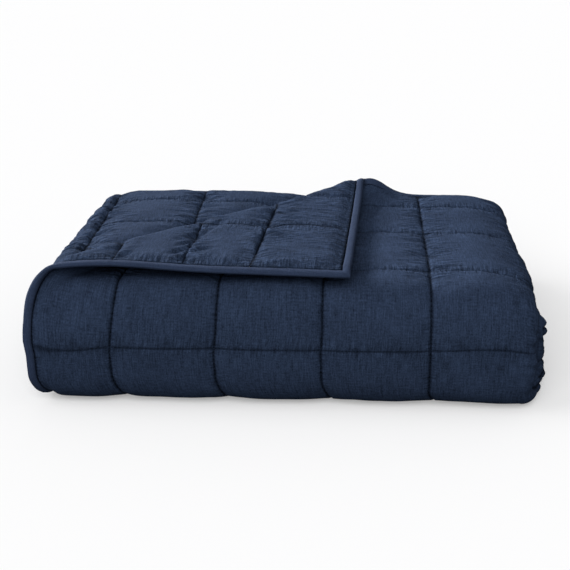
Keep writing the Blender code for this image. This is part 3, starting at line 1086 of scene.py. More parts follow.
    def seam_wrinkles(self, across: float, along: float, face: Face) -> float:
        """The height of the drag lines and nips that leave the seams, at a place on one face.

        Args:
            across: Place on the square grid, along the width.
            along: Place on the square grid, along the length.
            face: Which face of the cloth.

        Returns:
            The height out of the face.
        """
        plan, relief, height = self.plan, self.relief, 0.0
        turned = self.turned_face(across, face)
        front = ramp(along - plan.top_end, *relief.front_start) if across < plan.leg_run else 0.0
        for number, seam in enumerate(plan.long_seams):
            if abs(across - seam) < relief.limit * relief.drag_reach:
                seed = Seed.LONG_SEAM.value + number + SeedStep.SEAM_FACE.value * face.value
                if not turned:
                    drag = relief.seam_drag(along, across - seam, seed)
                    height += (1 - (1 - relief.front_drag) * front) * drag
                nip = relief.seam_nip(along, across - seam, seed + SeedStep.SECOND_KIND.value)
                height += (relief.top_nip + (1 - relief.top_nip) * front) * nip
        for number, seam in enumerate(plan.cross_seams):
            if abs(along - seam) < relief.limit * (relief.drag_reach if turned else relief.nip_reach):
                seed = Seed.CROSS_SEAM.value + number + SeedStep.SEAM_FACE.value * face.value
                height += relief.seam_nip(across, along - seam, seed)
                if turned:
                    drag = relief.seam_drag(across, along - seam, seed + SeedStep.SECOND_KIND.value)
                    height += relief.drag_on_turned * drag
        return height

    def wrinkles(self, across: float, along: float, face: Face) -> float:
        """The height of everything that the sewing draws up, at a place on one face.

        Args:
            across: Place on the square grid, along the width.
            along: Place on the square grid, along the length.
            face: Which face of the cloth.

        Returns:
            The height out of the face.
        """
        plan, relief = self.plan, self.relief
        height = relief.swell(across, along, SeedStep.SWELL_FACE.value * face.value)
        height += self.seam_wrinkles(across, along, face)
        gather = (relief.left_share * relief.rim_gather(along, relief.left_narrow * across, Seed.LEFT_RIM)
                  + relief.rim_gather(across, along, Seed.BACK_RIM)
                  + relief.rim_gather(along, plan.panel_width - across, Seed.RIGHT_RIM))
        far = ramp(across, plan.corner.back, plan.corner.back + relief.far_fade)
        height += gather * (1 - relief.far_loss * far)
        if along > plan.inside_start:
            height += relief.crumple(across, along)
        if self.turned_face(across, face):
            height *= 1 - relief.ridge_loss * plan.on_ridge(across, along)
        return height * smooth_step(self.inset(across, along) / self.rim_fade)

    def surface(self, across: float, along: float, face: Face, proud: float = 0.0) -> Vector:
        """The place in the folded stack of a point of one face.

        Args:
            across: Place on the square grid, along the width.
            along: Place on the square grid, along the length.
            face: Which face of the cloth.
            proud: How far out of the face the point stands.

        Returns:
            The point.
        """
        thick = self.half_thickness(across, along, face) + proud
        if self.shows(across, along, face):
            thick += self.wrinkles(across, along, face)
        return self.plan.fold(*self.plan.leaning(across, along), face.value * thick)

    def flat_slab(self) -> bmesh.types.BMesh:
        """The flat cloth, cut fine where it shows.

        Returns:
            A closed slab, on which the sign of Z says which face a vertex is on.
        """
        columns, rows = self.across_lines(), self.along_lines()
        mesh = bmesh.new()
        bmesh.ops.create_grid(mesh, x_segments=len(columns) - 1, y_segments=len(rows) - 1, size=0.5)
        for vert in mesh.verts:
            vert.co = (columns[round((vert.co.x + 0.5) * (len(columns) - 1))],
                       rows[round((vert.co.y + 0.5) * (len(rows) - 1))], Face.INNER.value)
        made = bmesh.ops.extrude_face_region(mesh, geom=mesh.faces[:])["geom"]
        upper = [item for item in made if isinstance(item, bmesh.types.BMVert)]
        bmesh.ops.translate(mesh, verts=upper, vec=(0, 0, Face.OUTER.value - Face.INNER.value))
        seen = set()
        for face in mesh.faces:
            middle = face.calc_center_median()
            if abs(middle.z) > 0.5 and self.shows(middle.x, middle.y, Face(round(middle.z))):
                seen.update(face.edges)
        edges = [edge for edge in mesh.edges if edge in seen]
        bmesh.ops.subdivide_edges(mesh, edges=edges, cuts=self.cuts, use_grid_fill=True)
        return mesh

    def to_line(self, place: float, seams: Sequence[float], length: float) -> float:
        """Distance to the nearest seam, or to the line that holds the binding."""
        return min(abs(place - seam) for seam in (0.0, *seams, length))

    def chart(self, mesh: bmesh.types.BMesh) -> None:
        """Give the flat slab its two maps: places on the cloth, and distances to the seams.

        Both are turned on the corner's inner face, whose yarns run the other way once it lies folded back.

        Args:
            mesh: The slab, still flat.
        """
        plan = self.plan
        sheet = mesh.loops.layers.uv.new("cloth")
        nearest = mesh.loops.layers.uv.new("seams")
        for face in mesh.faces:
            middle = face.calc_center_median()
            turned = middle.z < 0 and middle.x < plan.leg_run
            for loop in face.loops:
                across, along, _ = loop.vert.co
                place = plan.leaning(across, along)
                lines = (self.to_line(across, plan.long_seams, plan.panel_width),
                         self.to_line(along, plan.cross_seams, plan.panel_length))
                loop[sheet].uv = place[::-1] if turned else place
                loop[nearest].uv = lines[::-1] if turned else lines

    def mesh(self) -> bmesh.types.BMesh:
        """The flat slab with its maps, given its thickness and folded.

        Returns:
            The panel as a closed mesh.
        """
        mesh = self.flat_slab()
        self.chart(mesh)
        for vert in mesh.verts:
            vert.co = self.surface(vert.co.x, vert.co.y, Face.OUTER if vert.co.z > 0 else Face.INNER)
        face_outwards(mesh)
        return mesh


@dataclass
class EdgeBinding:
    """The cotton strip round the rim, an oval roll with a slight waver."""

    plan: FoldPlan
    sides: int = 14
    fine: float = 0.0034
    coarse: float = 0.014
    near: float = 0.02               # the left side is fine this far past the front bend
    near_corner: float = 0.05        # and the right side this far past the turned-back corner
    overlap: float = 0.0012          # how far the roll goes over the panel
    oval_power: float = 0.8          # below 1 the section is squarer than an ellipse
    waver: float = 0.00035
    waver_pitch: float = 0.007
    waver_round: float = 4.0         # how far the waver changes round the section
    stand_off: float = 0.0011        # down the front's left edge
    front_fullness: float = 0.45     # share by which the roll is thicker there

    def steps(self, stops: Sequence[tuple[float, float]]) -> list[float]:
        """Places along one side of the rim.

        Args:
            stops: Stretches, each by its end and its spacing.

        Returns:
            The places in order, without the side's two ends.
        """
        places, last = [], 0.0
        for end, spacing in stops:
            count = max(1, round((end - last) / spacing))
            places += [last + (end - last) * number / count for number in range(count)]
            last = end
        return places[1:]

    def stations(self) -> list[tuple[float, float, float, float]]:
        """Places round the rim, starting along the back edge.

        Returns:
            Rows of across, along and the way out from the rim in the same two directions.
        """
        width, length = self.plan.panel_width, self.plan.panel_length
        back = self.steps([(width, self.fine)])
        right = self.steps([(self.plan.corner.left + self.near_corner, self.fine), (length, self.coarse)])
        front = self.steps([(width, self.coarse)])
        left = self.steps([(self.plan.front_end + self.near, self.fine), (length, self.coarse)])
        rows = [(place, 0.0, 0.0, -1.0) for place in back] + [(width, 0.0, 1.0, -1.0)]
        rows += [(width, place, 1.0, 0.0) for place in right] + [(width, length, 1.0, 1.0)]
        rows += [(place, length, 0.0, 1.0) for place in reversed(front)] + [(0.0, length, -1.0, 1.0)]
        rows += [(0.0, place, -1.0, 0.0) for place in reversed(left)] + [(0.0, 0.0, -1.0, -1.0)]
        return rows

    def section(self, side: float) -> tuple[float, float]:
        """A point of the oval section.

        Args:
            side: How far round the section it is, from 0 to 1.

        Returns:
            Its distance out from the rim, and its lift.
        """
        cloth, angle = self.plan.cloth, 2 * HALF_TURN * side
        squared = [math.copysign(abs(value) ** self.oval_power, value)
                   for value in (math.cos(angle), math.sin(angle))]
        reach = cloth.binding_width + cloth.clearance + self.overlap
        return -self.overlap + reach / 2 * (1 + squared[0]), cloth.binding_thickness / 2 * squared[1]

    def mesh(self) -> bmesh.types.BMesh:
        """A flat strip of faces, rolled into the section and carried round the rim.

        Returns:
            The binding as a closed mesh.
        """
        plan, rows = self.plan, self.stations()
        mesh = bmesh.new()
        bmesh.ops.create_grid(mesh, x_segments=len(rows), y_segments=self.sides, size=0.5)
        distances = [0.0]
        for before, after in zip(rows, rows[1:] + rows[:1]):
            distances.append(distances[-1] + math.dist(before[:2], after[:2]))
        girth = 2 * (plan.cloth.binding_width + plan.cloth.binding_thickness)
        sheet = mesh.loops.layers.uv.new("cloth")
        for face in mesh.faces:
            for loop in face.loops:
                station = round((loop.vert.co.x + 0.5) * len(rows))
                loop[sheet].uv = ((loop.vert.co.y + 0.5) * girth, distances[station])
        for vert in mesh.verts:
            station = round((vert.co.x + 0.5) * len(rows)) % len(rows)
            across, along, out_x, out_y = rows[station]
            out, lift = self.section(vert.co.y + 0.5)
            full = plan.on_front_left(across, along)
            out += self.stand_off * full
            bump = noise.noise(Vector((distances[station] / self.waver_pitch,
                                       self.waver_round * vert.co.y, Seed.BINDING.value)))
            lift = lift * (1 + self.front_fullness * full) + math.copysign(self.waver, lift) * bump
            vert.co = plan.fold(across + out * out_x, along + out * out_y, lift)
        bmesh.ops.remove_doubles(mesh, verts=mesh.verts[:], dist=1e-6)
        face_outwards(mesh)
        return mesh


@dataclass
class QuiltingThread:
    """The running stitches along every seam that shows, and the line that holds the binding."""

    panel: QuiltedPanel
    pitch: float = STITCH_PITCH
    stitch: float = 0.0031
    width: float = 0.00062
    rim_inset: float = 0.0016        # the line that holds the binding
    ridge_overlap: float = 0.004     # stitches on the turned face start this far before the diagonal
    probe: float = 0.002             # how far out of the face the way up is measured

    def face_at(self, across: float, along: float) -> Optional[Face]:
        """The face on which a stitch shows.

        Args:
            across: Place on the square grid, along the width.
            along: Place on the square grid, along the length.

        Returns:
            The face, or None where the stitch shows on neither.
        """
        plan = self.panel.plan
        corner = across < plan.leg_run and plan.past_diagonal(across, along) > -self.ridge_overlap
        face = Face.INNER if corner or across > plan.inner_start else Face.OUTER
        return face if self.panel.shows(across, along, face) else None

    def runs(self) -> list[list[tuple[float, float]]]:
        """Walk each seam, and the line that holds the binding.

        Returns:
            For each, the places of its stitches on the square grid.
        """
        plan = self.panel.plan
        down = [place * self.pitch for place in range(int(plan.front_end / self.pitch))]
        over = [place * self.pitch for place in range(int(plan.panel_width / self.pitch))]
        runs = [[(seam, place) for place in down] for seam in plan.long_seams]
        runs += [[(place, seam) for place in over] for seam in plan.cross_seams if seam < plan.front_end]
        runs += [[(self.rim_inset, place) for place in down], [(place, self.rim_inset) for place in over]]
        return runs

    def bead(self) -> bmesh.types.BMesh:
        """One stitch at the origin.

        Returns:
            A small ball, drawn out along X.
        """
        bead = bmesh.new()
        bmesh.ops.create_uvsphere(bead, u_segments=6, v_segments=4, radius=0.5)
        bmesh.ops.rotate(bead, verts=bead.verts[:], matrix=Matrix.Rotation(HALF_TURN / 2, 3, "Y"))
        bmesh.ops.scale(bead, verts=bead.verts[:], vec=(self.stitch, self.width, self.width))
        return bead

    def place(self, here: tuple[float, float], after: tuple[float, float], face: Face) -> Optional[Matrix]:
        """Where a stitch lies.

        Args:
            here: Its start on the square grid.
            after: The next stitch's start.
            face: The face that it lies on.

        Returns:
            Its place and turn, or None where the cloth jumps between the two.
        """
        start = self.panel.surface(*here, face, self.width / 4)
        way = self.panel.surface(*after, face, self.width / 4) - start
        out = self.panel.surface(*here, face, self.probe) - start
        if not 1e-5 < way.length < 2 * self.pitch:
            return None
        middle = start + way / 2
        way.normalize()
        side = way.cross(out).normalized()
        return Matrix.Translation(middle) @ Matrix((way, side, way.cross(side))).transposed().to_4x4()

    def mesh(self) -> bmesh.types.BMesh:
        """All the stitches, each a long small bead that lies in its seam.

        Returns:
            The beads as one mesh.
        """
        mesh, bead = bmesh.new(), self.bead()
        for run in self.runs():
            for here, after in zip(run, run[1:]):
                face = self.face_at(*here)
                place = self.place(here, after, face) if face else None
                if place:
                    stitch = bpy.data.meshes.new("stitch")
                    bead.to_mesh(stitch)
                    stitch.transform(place)
                    mesh.from_mesh(stitch)
                    bpy.data.meshes.remove(stitch)
        bead.free()
        bmesh.ops.recalc_face_normals(mesh, faces=mesh.faces[:])
        return mesh


@dataclass(frozen=True)
class Grain:
    """One noise over the cloth: its size across and along, its share, its detail and its turn in degrees."""

    size: tuple[float, float]
    share: float = 1.0
    detail: float = 2.0
    turn: float = 0.0


@dataclass(frozen=True)
class SeamLine:
    """The furrow of the seams that run one way, which is also painted dark in the colour as the shade in its
    groove: the axis off them, the axis they run on, and its size.
    """

    off: Axis
    run: Axis
    depth: float
    breadth: float


@dataclass(frozen=True)
class Crease:
    """Fine creases that leave the seams of one direction: their reach, grain, height and shade, which is
    painted shade in their hollows and painted highlight on their crests.
    """

    off: Axis
    reach: float
    grain: Grain
    rise: float
    shade: float
    on_top_only: bool = False


@dataclass(frozen=True)
class CottonFinish:
    """A matt heathered cotton: its tones, how streaky it is and how deep its weave stands."""

    name: str
    tone: tuple[float, float, float]
    slub: float
    heather: float
    weave_depth: float
    roughness: float
    gloss: float
    quilted: bool = False

    def material(self, effects: CottonEffects) -> bpy.types.Material:
        """The cotton as a material.

        Args:
            effects: The shared shader groups.

        Returns:
            The material, which reads the piece's own maps of the cloth.
        """
        material = bpy.data.materials.new(self.name)
        material.use_nodes = True
        tree = material.node_tree
        shader = tree.nodes["Principled BSDF"]
        chart = effects.chart(tree, "cloth")
        colour = effects.place(tree, effects.fibre, {"Tone": (*self.tone, 1.0), "Slub": self.slub,
                                                     "Heather": self.heather, "Chart": chart})
        height = effects.place(tree, effects.weave, {"Chart": chart}).outputs["Height"]
        tone = colour.outputs["Colour"]
        # quilted cloth also takes the seams' bump, and the painted shade and highlight along them in its
        # colour
        if self.quilted:
            seam = effects.place(tree, effects.seam, {"Seams": effects.chart(tree, "seams"), "Chart": chart,
                                                      "Tone": tone})
            tone = seam.outputs["Colour"]
            height = effects.math(tree, "ADD", height, seam.outputs["Height"])
        bump = tree.nodes.new("ShaderNodeBump")
        bump.inputs["Strength"].default_value = 1.0
        bump.inputs["Distance"].default_value = self.weave_depth
        tree.links.new(tone, shader.inputs["Base Color"])
        tree.links.new(height, bump.inputs["Height"])
        tree.links.new(bump.outputs["Normal"], shader.inputs["Normal"])
        shader.inputs["Roughness"].default_value = self.roughness
        shader.inputs["Specular IOR Level"].default_value = self.gloss
        return material


@dataclass
class CottonEffects:
    """The shader groups that every cotton finish shares."""

    yarn: float = 0.00055
    yarn_height: float = 0.25
    stitch_pitch: float = STITCH_PITCH
    slubs: tuple[Grain, ...] = (
        Grain((0.0015, 0.014), 0.65), Grain((0.0045, 0.045), 0.20), Grain((0.011, 0.0016), 0.45))
    flecks: tuple[Grain, ...] = (Grain((0.0014, 0.0020), 0.9, 3.0), Grain((0.045, 0.045), 0.35))
    weave_grains: tuple[Grain, ...] = (
        Grain((0.0014, 0.020), 0.9), Grain((0.014, 0.0014), 0.6), Grain((0.010, 0.0065), 2.6, 3.0))
    # each seam line sinks the bump and paints shade into the colour along its furrow, dashed by the stitches
    seam_lines: tuple[SeamLine, ...] = (
        SeamLine(Axis.ACROSS, Axis.ALONG, 0.95, 0.0016), SeamLine(Axis.ALONG, Axis.ACROSS, 0.62, 0.0012))
    # a crease's shade paints its hollows darker and its crests lighter in the colour, as painted shade and
    # highlight
    creases: tuple[Crease, ...] = (
        Crease(Axis.ACROSS, 0.030, Grain((0.034, 0.0066), turn=16.0), 60.0, 1.5, on_top_only=True),
        Crease(Axis.ACROSS, 0.034, Grain((0.026, 0.0052), turn=-9.0), 44.0, 1.2, on_top_only=True),
        Crease(Axis.ACROSS, 0.006, Grain((0.012, 0.0032)), 22.0, 0.8),
        Crease(Axis.ALONG, 0.013, Grain((0.0040, 0.018)), 34.0, 1.1))
    dash_floor: float = 0.86         # of a furrow's depth between two stitches, in its bump and in its painted shade
    dash_swing: float = 0.07         # and what a stitch adds to it or takes from it
    painted_shade_lip: float = 0.0045              # painted shade: the cloth is painted a little darker this near a seam, as the shade of its groove
    lip_painted_shade: float = -0.08
    top_end: float = 0.365           # the long creases are on the top alone, which ends here along
    top_fade: float = 0.03
    furrow_depth: float = -6.0

    def __post_init__(self) -> None:
        """Build each group once."""
        self.fibre = self.heathered_fibre()
        self.weave = self.plain_weave()
        self.seam = self.seam_relief_and_painted_shade()

    def chart(self, tree: bpy.types.ShaderNodeTree, name: str) -> bpy.types.NodeSocket:
        """One of the piece's own maps.

        Args:
            tree: The material's tree.
            name: The map's name.

        Returns:
            Its values, in metres.
        """
        node = tree.nodes.new("ShaderNodeUVMap")
        node.uv_map = name
        return node.outputs["UV"]

    def feed(self, tree: bpy.types.ShaderNodeTree, value: object, socket: bpy.types.NodeSocket) -> None:
        """Give an input the value of a socket or a constant.

        Args:
            tree: The tree that both are in.
            value: A socket to read, or the constant.
            socket: The input.
        """
        if isinstance(value, bpy.types.NodeSocket):
            tree.links.new(value, socket)
        else:
            socket.default_value = value

    def place(self, tree: bpy.types.ShaderNodeTree, group: bpy.types.ShaderNodeTree,
              values: dict[str, object]) -> bpy.types.Node:
        """Place a group in a tree.

        Args:
            tree: The tree.
            group: The group.
            values: What each of its inputs gets, a constant or a socket to read.

        Returns:
            The group's node.
        """
        node = tree.nodes.new("ShaderNodeGroup")
        node.node_tree = group
        for title, value in values.items():
            self.feed(tree, value, node.inputs[title])
        return node

    def new_group(self, name: str, inputs: Sequence[tuple[str, str]], outputs: Sequence[tuple[str, str]]
                  ) -> tuple[bpy.types.ShaderNodeTree, bpy.types.Node, bpy.types.Node]:
        """An empty group with named sockets.

        Args:
            name: The group's name.
            inputs: Name and kind of each input, such as Vector, Color or Float.
            outputs: Name and kind of each output.

        Returns:
            The group, its input node and its output node.
        """
        group = bpy.data.node_groups.new(name, "ShaderNodeTree")
        for side, sockets in (("INPUT", inputs), ("OUTPUT", outputs)):
            for title, kind in sockets:
                group.interface.new_socket(title, in_out=side, socket_type="NodeSocket" + kind)
        return group, group.nodes.new("NodeGroupInput"), group.nodes.new("NodeGroupOutput")

    def stretched_noise(self, group: bpy.types.ShaderNodeTree, chart: bpy.types.NodeSocket,
                        grain: Grain) -> bpy.types.NodeSocket:
        """Noise whose grain is stretched and turned over the cloth.

        Args:
            group: The group that it is made in.
            chart: The cloth's map.
            grain: The noise's size, detail and turn.

        Returns:
            Its value, from 0 to 1.
        """
        mapping = group.nodes.new("ShaderNodeMapping")
        mapping.vector_type = "TEXTURE"
        mapping.inputs["Rotation"].default_value = (0.0, 0.0, math.radians(grain.turn))
        mapping.inputs["Scale"].default_value = (*grain.size, 1.0)
        texture = group.nodes.new("ShaderNodeTexNoise")
        texture.inputs["Scale"].default_value = 1.0
        texture.inputs["Detail"].default_value = grain.detail
        group.links.new(chart, mapping.inputs["Vector"])
        group.links.new(mapping.outputs["Vector"], texture.inputs["Vector"])
        return texture.outputs["Fac"]

    def math(self, group: bpy.types.ShaderNodeTree, operation: str, *values: object) -> bpy.types.NodeSocket:
        """A sum on sockets and constants.

        Args:
            group: The tree that it is made in.
            operation: The Math node's operation.
            *values: What each of its inputs gets.

        Returns:
            The result.
        """
        node = group.nodes.new("ShaderNodeMath")
        node.operation = operation
        for socket, value in zip(node.inputs, values):
            self.feed(group, value, socket)
        return node.outputs["Value"]

    def layered(self, group: bpy.types.ShaderNodeTree, chart: bpy.types.NodeSocket,
                grains: Sequence[Grain], total: object) -> bpy.types.NodeSocket:
        """Add grains, each by its share.

        Args:
            group: The group that it is made in.
            chart: The cloth's map.
            grains: The grains.
            total: What they are added to, a constant or a socket.

        Returns:
            The sum.
        """
        for grain in grains:
            total = self.math(group, "MULTIPLY_ADD", self.stretched_noise(group, chart, grain),
                              grain.share, total)
        return total

    def centred(self, group: bpy.types.ShaderNodeTree, chart: bpy.types.NodeSocket,
                grains: Sequence[Grain]) -> bpy.types.NodeSocket:
        """The sum of some grains, shifted so that its middle is 0."""
        return self.layered(group, chart, grains, -0.5 * sum(grain.share for grain in grains))

    def scaled(self, group: bpy.types.ShaderNodeTree, tone: bpy.types.NodeSocket,
               gain: bpy.types.NodeSocket) -> bpy.types.NodeSocket:
        """A colour made lighter or darker.

        Args:
            group: The group that it is made in.
            tone: The colour.
            gain: 1 where it stays as it is.

        Returns:
            The new colour.
        """
        shade = group.nodes.new("ShaderNodeVectorMath")
        shade.operation = "SCALE"
        group.links.new(tone, shade.inputs[0])
        group.links.new(gain, shade.inputs["Scale"])
        return shade.outputs["Vector"]

    def split(self, group: bpy.types.ShaderNodeTree,
              place: bpy.types.NodeSocket) -> dict[Axis, bpy.types.NodeSocket]:
        """Take a place apart.

        Args:
            group: The group that it is made in.
            place: The place.

        Returns:
            Its part on each axis.
        """
        node = group.nodes.new("ShaderNodeSeparateXYZ")
        group.links.new(place, node.inputs["Vector"])
        return {axis: node.outputs[axis.value] for axis in Axis}

    def beat(self, group: bpy.types.ShaderNodeTree, place: bpy.types.NodeSocket,
             pitch: float) -> bpy.types.NodeSocket:
        """A wave from -1 to 1 that repeats once in each pitch."""
        return self.math(group, "SINE", self.math(group, "MULTIPLY", place, 2 * HALF_TURN / pitch))

    def near(self, group: bpy.types.ShaderNodeTree, distance: object, reach: float) -> bpy.types.NodeSocket:
        """A soft band along a line.

        Args:
            group: The group that it is made in.
            distance: Distance from the line.
            reach: How far the band goes.

        Returns:
            1 on the line, falling off smoothly on both sides.
        """
        share = self.math(group, "DIVIDE", distance, reach)
        square = self.math(group, "MULTIPLY", share, share)
        return self.math(group, "EXPONENT", self.math(group, "MULTIPLY", square, -1.0))

    def heathered_fibre(self) -> bpy.types.ShaderNodeTree:
        """The heathered colour: long slub streaks in the yarn, and paler and darker fibres.

        Returns:
            The group.
        """
        group, given, put = self.new_group(
            "heathered_fibre",
            [("Chart", "Vector"), ("Tone", "Color"), ("Slub", "Float"), ("Heather", "Float")],
            [("Colour", "Color")])
        chart = given.outputs["Chart"]
        slub = self.centred(group, chart, self.slubs)
        fleck = self.centred(group, chart, self.flecks)
        gain = self.math(group, "MULTIPLY_ADD", slub, given.outputs["Slub"], 1.0)
        gain = self.math(group, "MULTIPLY_ADD", fleck, given.outputs["Heather"], gain)
        group.links.new(self.scaled(group, given.outputs["Tone"], gain), put.inputs["Colour"])
        return group

    def plain_weave(self) -> bpy.types.ShaderNodeTree:
        """The height of a plain weave, uneven with the yarn's slubs, and of the soft creases over it.

        Returns:
            The group.
        """
        group, given, put = self.new_group("plain_weave", [("Chart", "Vector")], [("Height", "Float")])
        chart = given.outputs["Chart"]
        place = self.split(group, chart)
        turns = [self.beat(group, place[axis], self.yarn) for axis in Axis]
        cloth = self.math(group, "MULTIPLY", self.math(group, "MULTIPLY", *turns), self.yarn_height)
        group.links.new(self.layered(group, chart, self.weave_grains, cloth), put.inputs["Height"])
        return group

    def seam_relief_and_painted_shade(self) -> bpy.types.ShaderNodeTree:
        """What a quilting seam does to the cotton: a sharp furrow, and fine creases at right angles to it.
        Both sink the bump and are painted into the colour too: painted shade in the furrow and beside the
        seam, painted shade and highlight on the creases.

        Returns:
            The group.
        """
        group, given, put = self.new_group(
            "seam_relief_and_painted_shade", [("Seams", "Vector"), ("Chart", "Vector"), ("Tone", "Color")],
            [("Colour", "Color"), ("Height", "Float")])
        distance = self.split(group, given.outputs["Seams"])
        chart = given.outputs["Chart"]
        closest = self.math(group, "MINIMUM", *distance.values())
        place = self.split(group, chart)
        lines = []
        for line in self.seam_lines:
            dash = self.math(group, "MULTIPLY_ADD", self.beat(group, place[line.run], self.stitch_pitch),
                             self.dash_swing * line.depth, self.dash_floor * line.depth)
            band = self.near(group, distance[line.off], line.breadth)
            lines.append(self.math(group, "MULTIPLY", dash, band))
        furrow, painted_shade_lip = self.math(group, "MAXIMUM", *lines), self.near(group, closest, self.painted_shade_lip)
        # painted shade in a narrow band beside every seam
        gain = self.math(group, "MULTIPLY_ADD", painted_shade_lip, self.lip_painted_shade, 1.0)
        on_top = self.math(group, "MULTIPLY_ADD", place[Axis.ALONG], -1 / self.top_fade,
                           self.top_end / self.top_fade)
        on_top.node.use_clamp = True
        height = self.math(group, "MULTIPLY", furrow, self.furrow_depth)
        for crease in self.creases:
            fold = self.math(group, "SUBTRACT", self.stretched_noise(group, chart, crease.grain), 0.5)
            fold = self.math(group, "MULTIPLY", fold, self.near(group, distance[crease.off], crease.reach))
            if crease.on_top_only:
                fold = self.math(group, "MULTIPLY", fold, on_top)
            height = self.math(group, "MULTIPLY_ADD", fold, crease.rise, height)
            # painted shade and highlight that follow the crease
            gain = self.math(group, "MULTIPLY_ADD", fold, crease.shade, gain)
        # painted shade: the colour is darkened along each seam's furrow
        gain = self.math(group, "MULTIPLY", gain, self.math(group, "SUBTRACT", 1.0, furrow))
        group.links.new(self.scaled(group, given.outputs["Tone"], gain), put.inputs["Colour"])
        group.links.new(height, put.inputs["Height"])
        return group


@dataclass
class WeightedBlanket:
    """The whole blanket: its panel, its binding and its stitching, each dressed in its cotton."""

    plan: FoldPlan = field(default_factory=FoldPlan)
    face_cotton: CottonFinish = CottonFinish(
        name="heathered_face_cotton", tone=(0.0183, 0.0287, 0.0545), slub=1.85, heather=1.45,
        weave_depth=0.00012, roughness=0.90, gloss=0.01, quilted=True)
    strip_cotton: CottonFinish = CottonFinish(
        name="binding_cotton", tone=(0.0202, 0.0302, 0.0580), slub=0.80, heather=1.00,
        weave_depth=0.00010, roughness=0.86, gloss=0.02)
    thread_cotton: CottonFinish = CottonFinish(
        name="quilting_thread", tone=(0.0110, 0.0185, 0.0370), slub=0.10, heather=0.30,
        weave_depth=0.00003, roughness=0.80, gloss=0.02)

    def add(self, name: str, mesh: bmesh.types.BMesh, material: bpy.types.Material) -> bpy.types.Object:
        """Put a finished mesh in the scene as a piece that rides on the blanket, and report it.

        Args:
            name: The piece's name.
            mesh: Its mesh, which is freed.
            material: Its cotton.

        Returns:
            The piece.
        """
        data = bpy.data.meshes.new(name)
        mesh.to_mesh(data)
        mesh.free()
        data.materials.append(material)
        data.shade_smooth()
        piece = bpy.data.objects.new(name, data)
        bpy.context.scene.collection.objects.link(piece)
        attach(piece, "root")
        LOG.info("%s: %d faces", name, len(data.polygons))
        return piece

    def build(self) -> None:
        """Make the three pieces, and hide the model's panel and binding that they replace."""
        plan, effects = self.plan, CottonEffects()
        quilt = QuiltedPanel(plan)
        panel = self.add("navy_quilted_panel", quilt.mesh(), self.face_cotton.material(effects))
        binding = self.add("navy_edge_binding", EdgeBinding(plan).mesh(), self.strip_cotton.material(effects))
        thread = self.add("quilting_stitches", QuiltingThread(quilt).mesh(),
                          self.thread_cotton.material(effects))
        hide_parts("quilted_panel")
        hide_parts("edge_binding")


@dataclass(frozen=True)
class Softbox:
    """A distant soft light: its strength, its spread in degrees and the way towards it."""

    name: str
    energy: float
    spread: float
    source: tuple[float, float, float]
    on_floor: bool = True


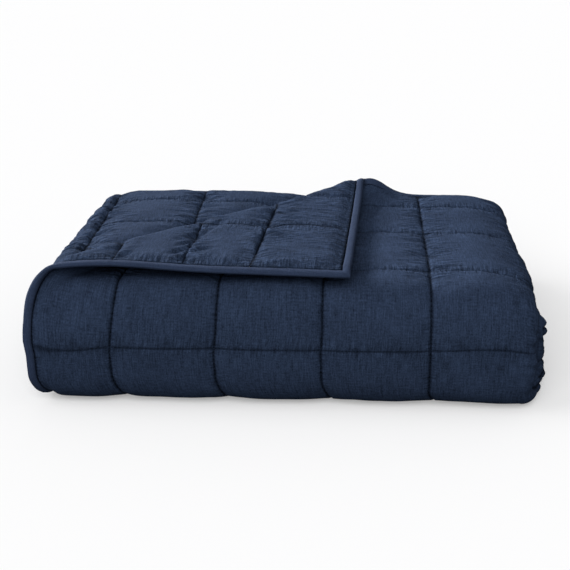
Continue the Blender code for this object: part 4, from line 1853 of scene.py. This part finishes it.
@dataclass
class Studio:
    """A pale floor, soft light from above and the camera."""

    origin: Vector
    floor_half: float = 14.0
    floor_roughness: float = 0.9
    floor_tone: float = 0.715
    floor_glow: float = 0.265
    floor_bounce: float = 0.25
    surround: float = 0.40
    surround_tone: tuple[float, float, float] = (0.985, 0.985, 1.0)
    lamps: tuple[Softbox, ...] = (
        Softbox("back_softbox", 8.50, 18.0, (-0.60, 0.65, 0.34), on_floor=False),
        Softbox("left_softbox", 1.00, 45.0, (-1.0, -0.20, 0.70)),
        Softbox("front_fill", 2.25, 50.0, (-0.10, -1.0, 0.78)))
    camera_place: tuple[float, float, float] = (0.0813, -1.5297, 0.6728)
    camera_turn: float = 3.458
    camera_dip: float = 21.3
    camera_roll: float = -0.57
    lens: float = 76.93
    sensor: float = 36.0
    sight: float = 60.0

    def floor(self) -> None:
        """The floor, far wider than the view, and darker in what it throws back than in what is seen."""
        mesh = bmesh.new()
        bmesh.ops.create_grid(mesh, x_segments=1, y_segments=1, size=self.floor_half)
        data = bpy.data.meshes.new("pale_floor")
        mesh.to_mesh(data)
        mesh.free()
        material = bpy.data.materials.new("pale_floor")
        material.use_nodes = True
        tree = material.node_tree
        shader = tree.nodes["Principled BSDF"]
        shader.inputs["Roughness"].default_value = self.floor_roughness
        shader.inputs["Specular IOR Level"].default_value = 0.0
        path = tree.nodes.new("ShaderNodeLightPath")
        shader.inputs["Emission Strength"].default_value = 1.0
        for socket, thrown, seen in (("Base Color", self.floor_bounce, self.floor_tone),
                                     ("Emission Color", 0.0, self.floor_glow)):
            tone = tree.nodes.new("ShaderNodeMix")
            tone.data_type = "RGBA"
            tone.inputs["A"].default_value = (thrown, thrown, thrown, 1.0)
            tone.inputs["B"].default_value = (seen, seen, seen, 1.0)
            tree.links.new(path.outputs["Is Camera Ray"], tone.inputs["Factor"])
            tree.links.new(tone.outputs["Result"], shader.inputs[socket])
        data.materials.append(material)
        ground = bpy.data.objects.new("pale_floor", data)
        bpy.context.scene.collection.objects.link(ground)

    def surroundings(self) -> None:
        """An even pale light from all round."""
        world = bpy.data.worlds.new("studio_surround")
        world.use_nodes = True
        background = world.node_tree.nodes["Background"]
        background.inputs["Color"].default_value = (*self.surround_tone, 1.0)
        background.inputs["Strength"].default_value = self.surround
        bpy.context.scene.world = world

    def lights(self) -> None:
        """The soft lights, of which the one from behind leaves the floor out."""
        lit = bpy.data.collections.new("lit_from_behind")
        for piece in bpy.context.scene.objects:
            if piece.type == "MESH" and piece.name != "pale_floor":
                lit.objects.link(piece)
        for lamp in self.lamps:
            data = bpy.data.lights.new(lamp.name, "SUN")
            data.energy = lamp.energy
            data.angle = math.radians(lamp.spread)
            light = bpy.data.objects.new(lamp.name, data)
            light.rotation_euler = Vector(lamp.source).to_track_quat("Z", "Y").to_euler()
            bpy.context.scene.collection.objects.link(light)
            if not lamp.on_floor:
                light.light_linking.receiver_collection = lit

    def camera(self) -> None:
        """The camera, by its place, its turn, dip and roll in degrees, and its lens."""
        turn, dip, roll = map(math.radians, (self.camera_turn, self.camera_dip, self.camera_roll))
        ahead = Vector((-math.sin(turn) * math.cos(dip), math.cos(turn) * math.cos(dip), -math.sin(dip)))
        right = Vector((math.cos(turn), math.sin(turn), 0.0))
        above = right.cross(ahead)
        level = right * math.cos(roll) + above * math.sin(roll)
        above = above * math.cos(roll) - right * math.sin(roll)
        data = bpy.data.cameras.new("camera")
        data.lens = self.lens
        data.sensor_width = self.sensor
        data.clip_end = self.sight
        item = bpy.data.objects.new("camera", data)
        item.matrix_world = (Matrix.Translation(Vector(self.camera_place) - self.origin)
                             @ Matrix((level, above, -ahead)).transposed().to_4x4())
        bpy.context.scene.collection.objects.link(item)
        bpy.context.scene.camera = item

    def build(self) -> None:
        """Set up the floor, the lights and the camera."""
        self.floor()
        self.surroundings()
        self.lights()
        self.camera()
        bpy.context.scene.view_settings.view_transform = "Standard"


def main() -> None:
    """Build the blanket and its studio."""
    blanket = WeightedBlanket()
    blanket.build()
    Studio(blanket.plan.origin).build()


if __name__ == "__main__":
    main()
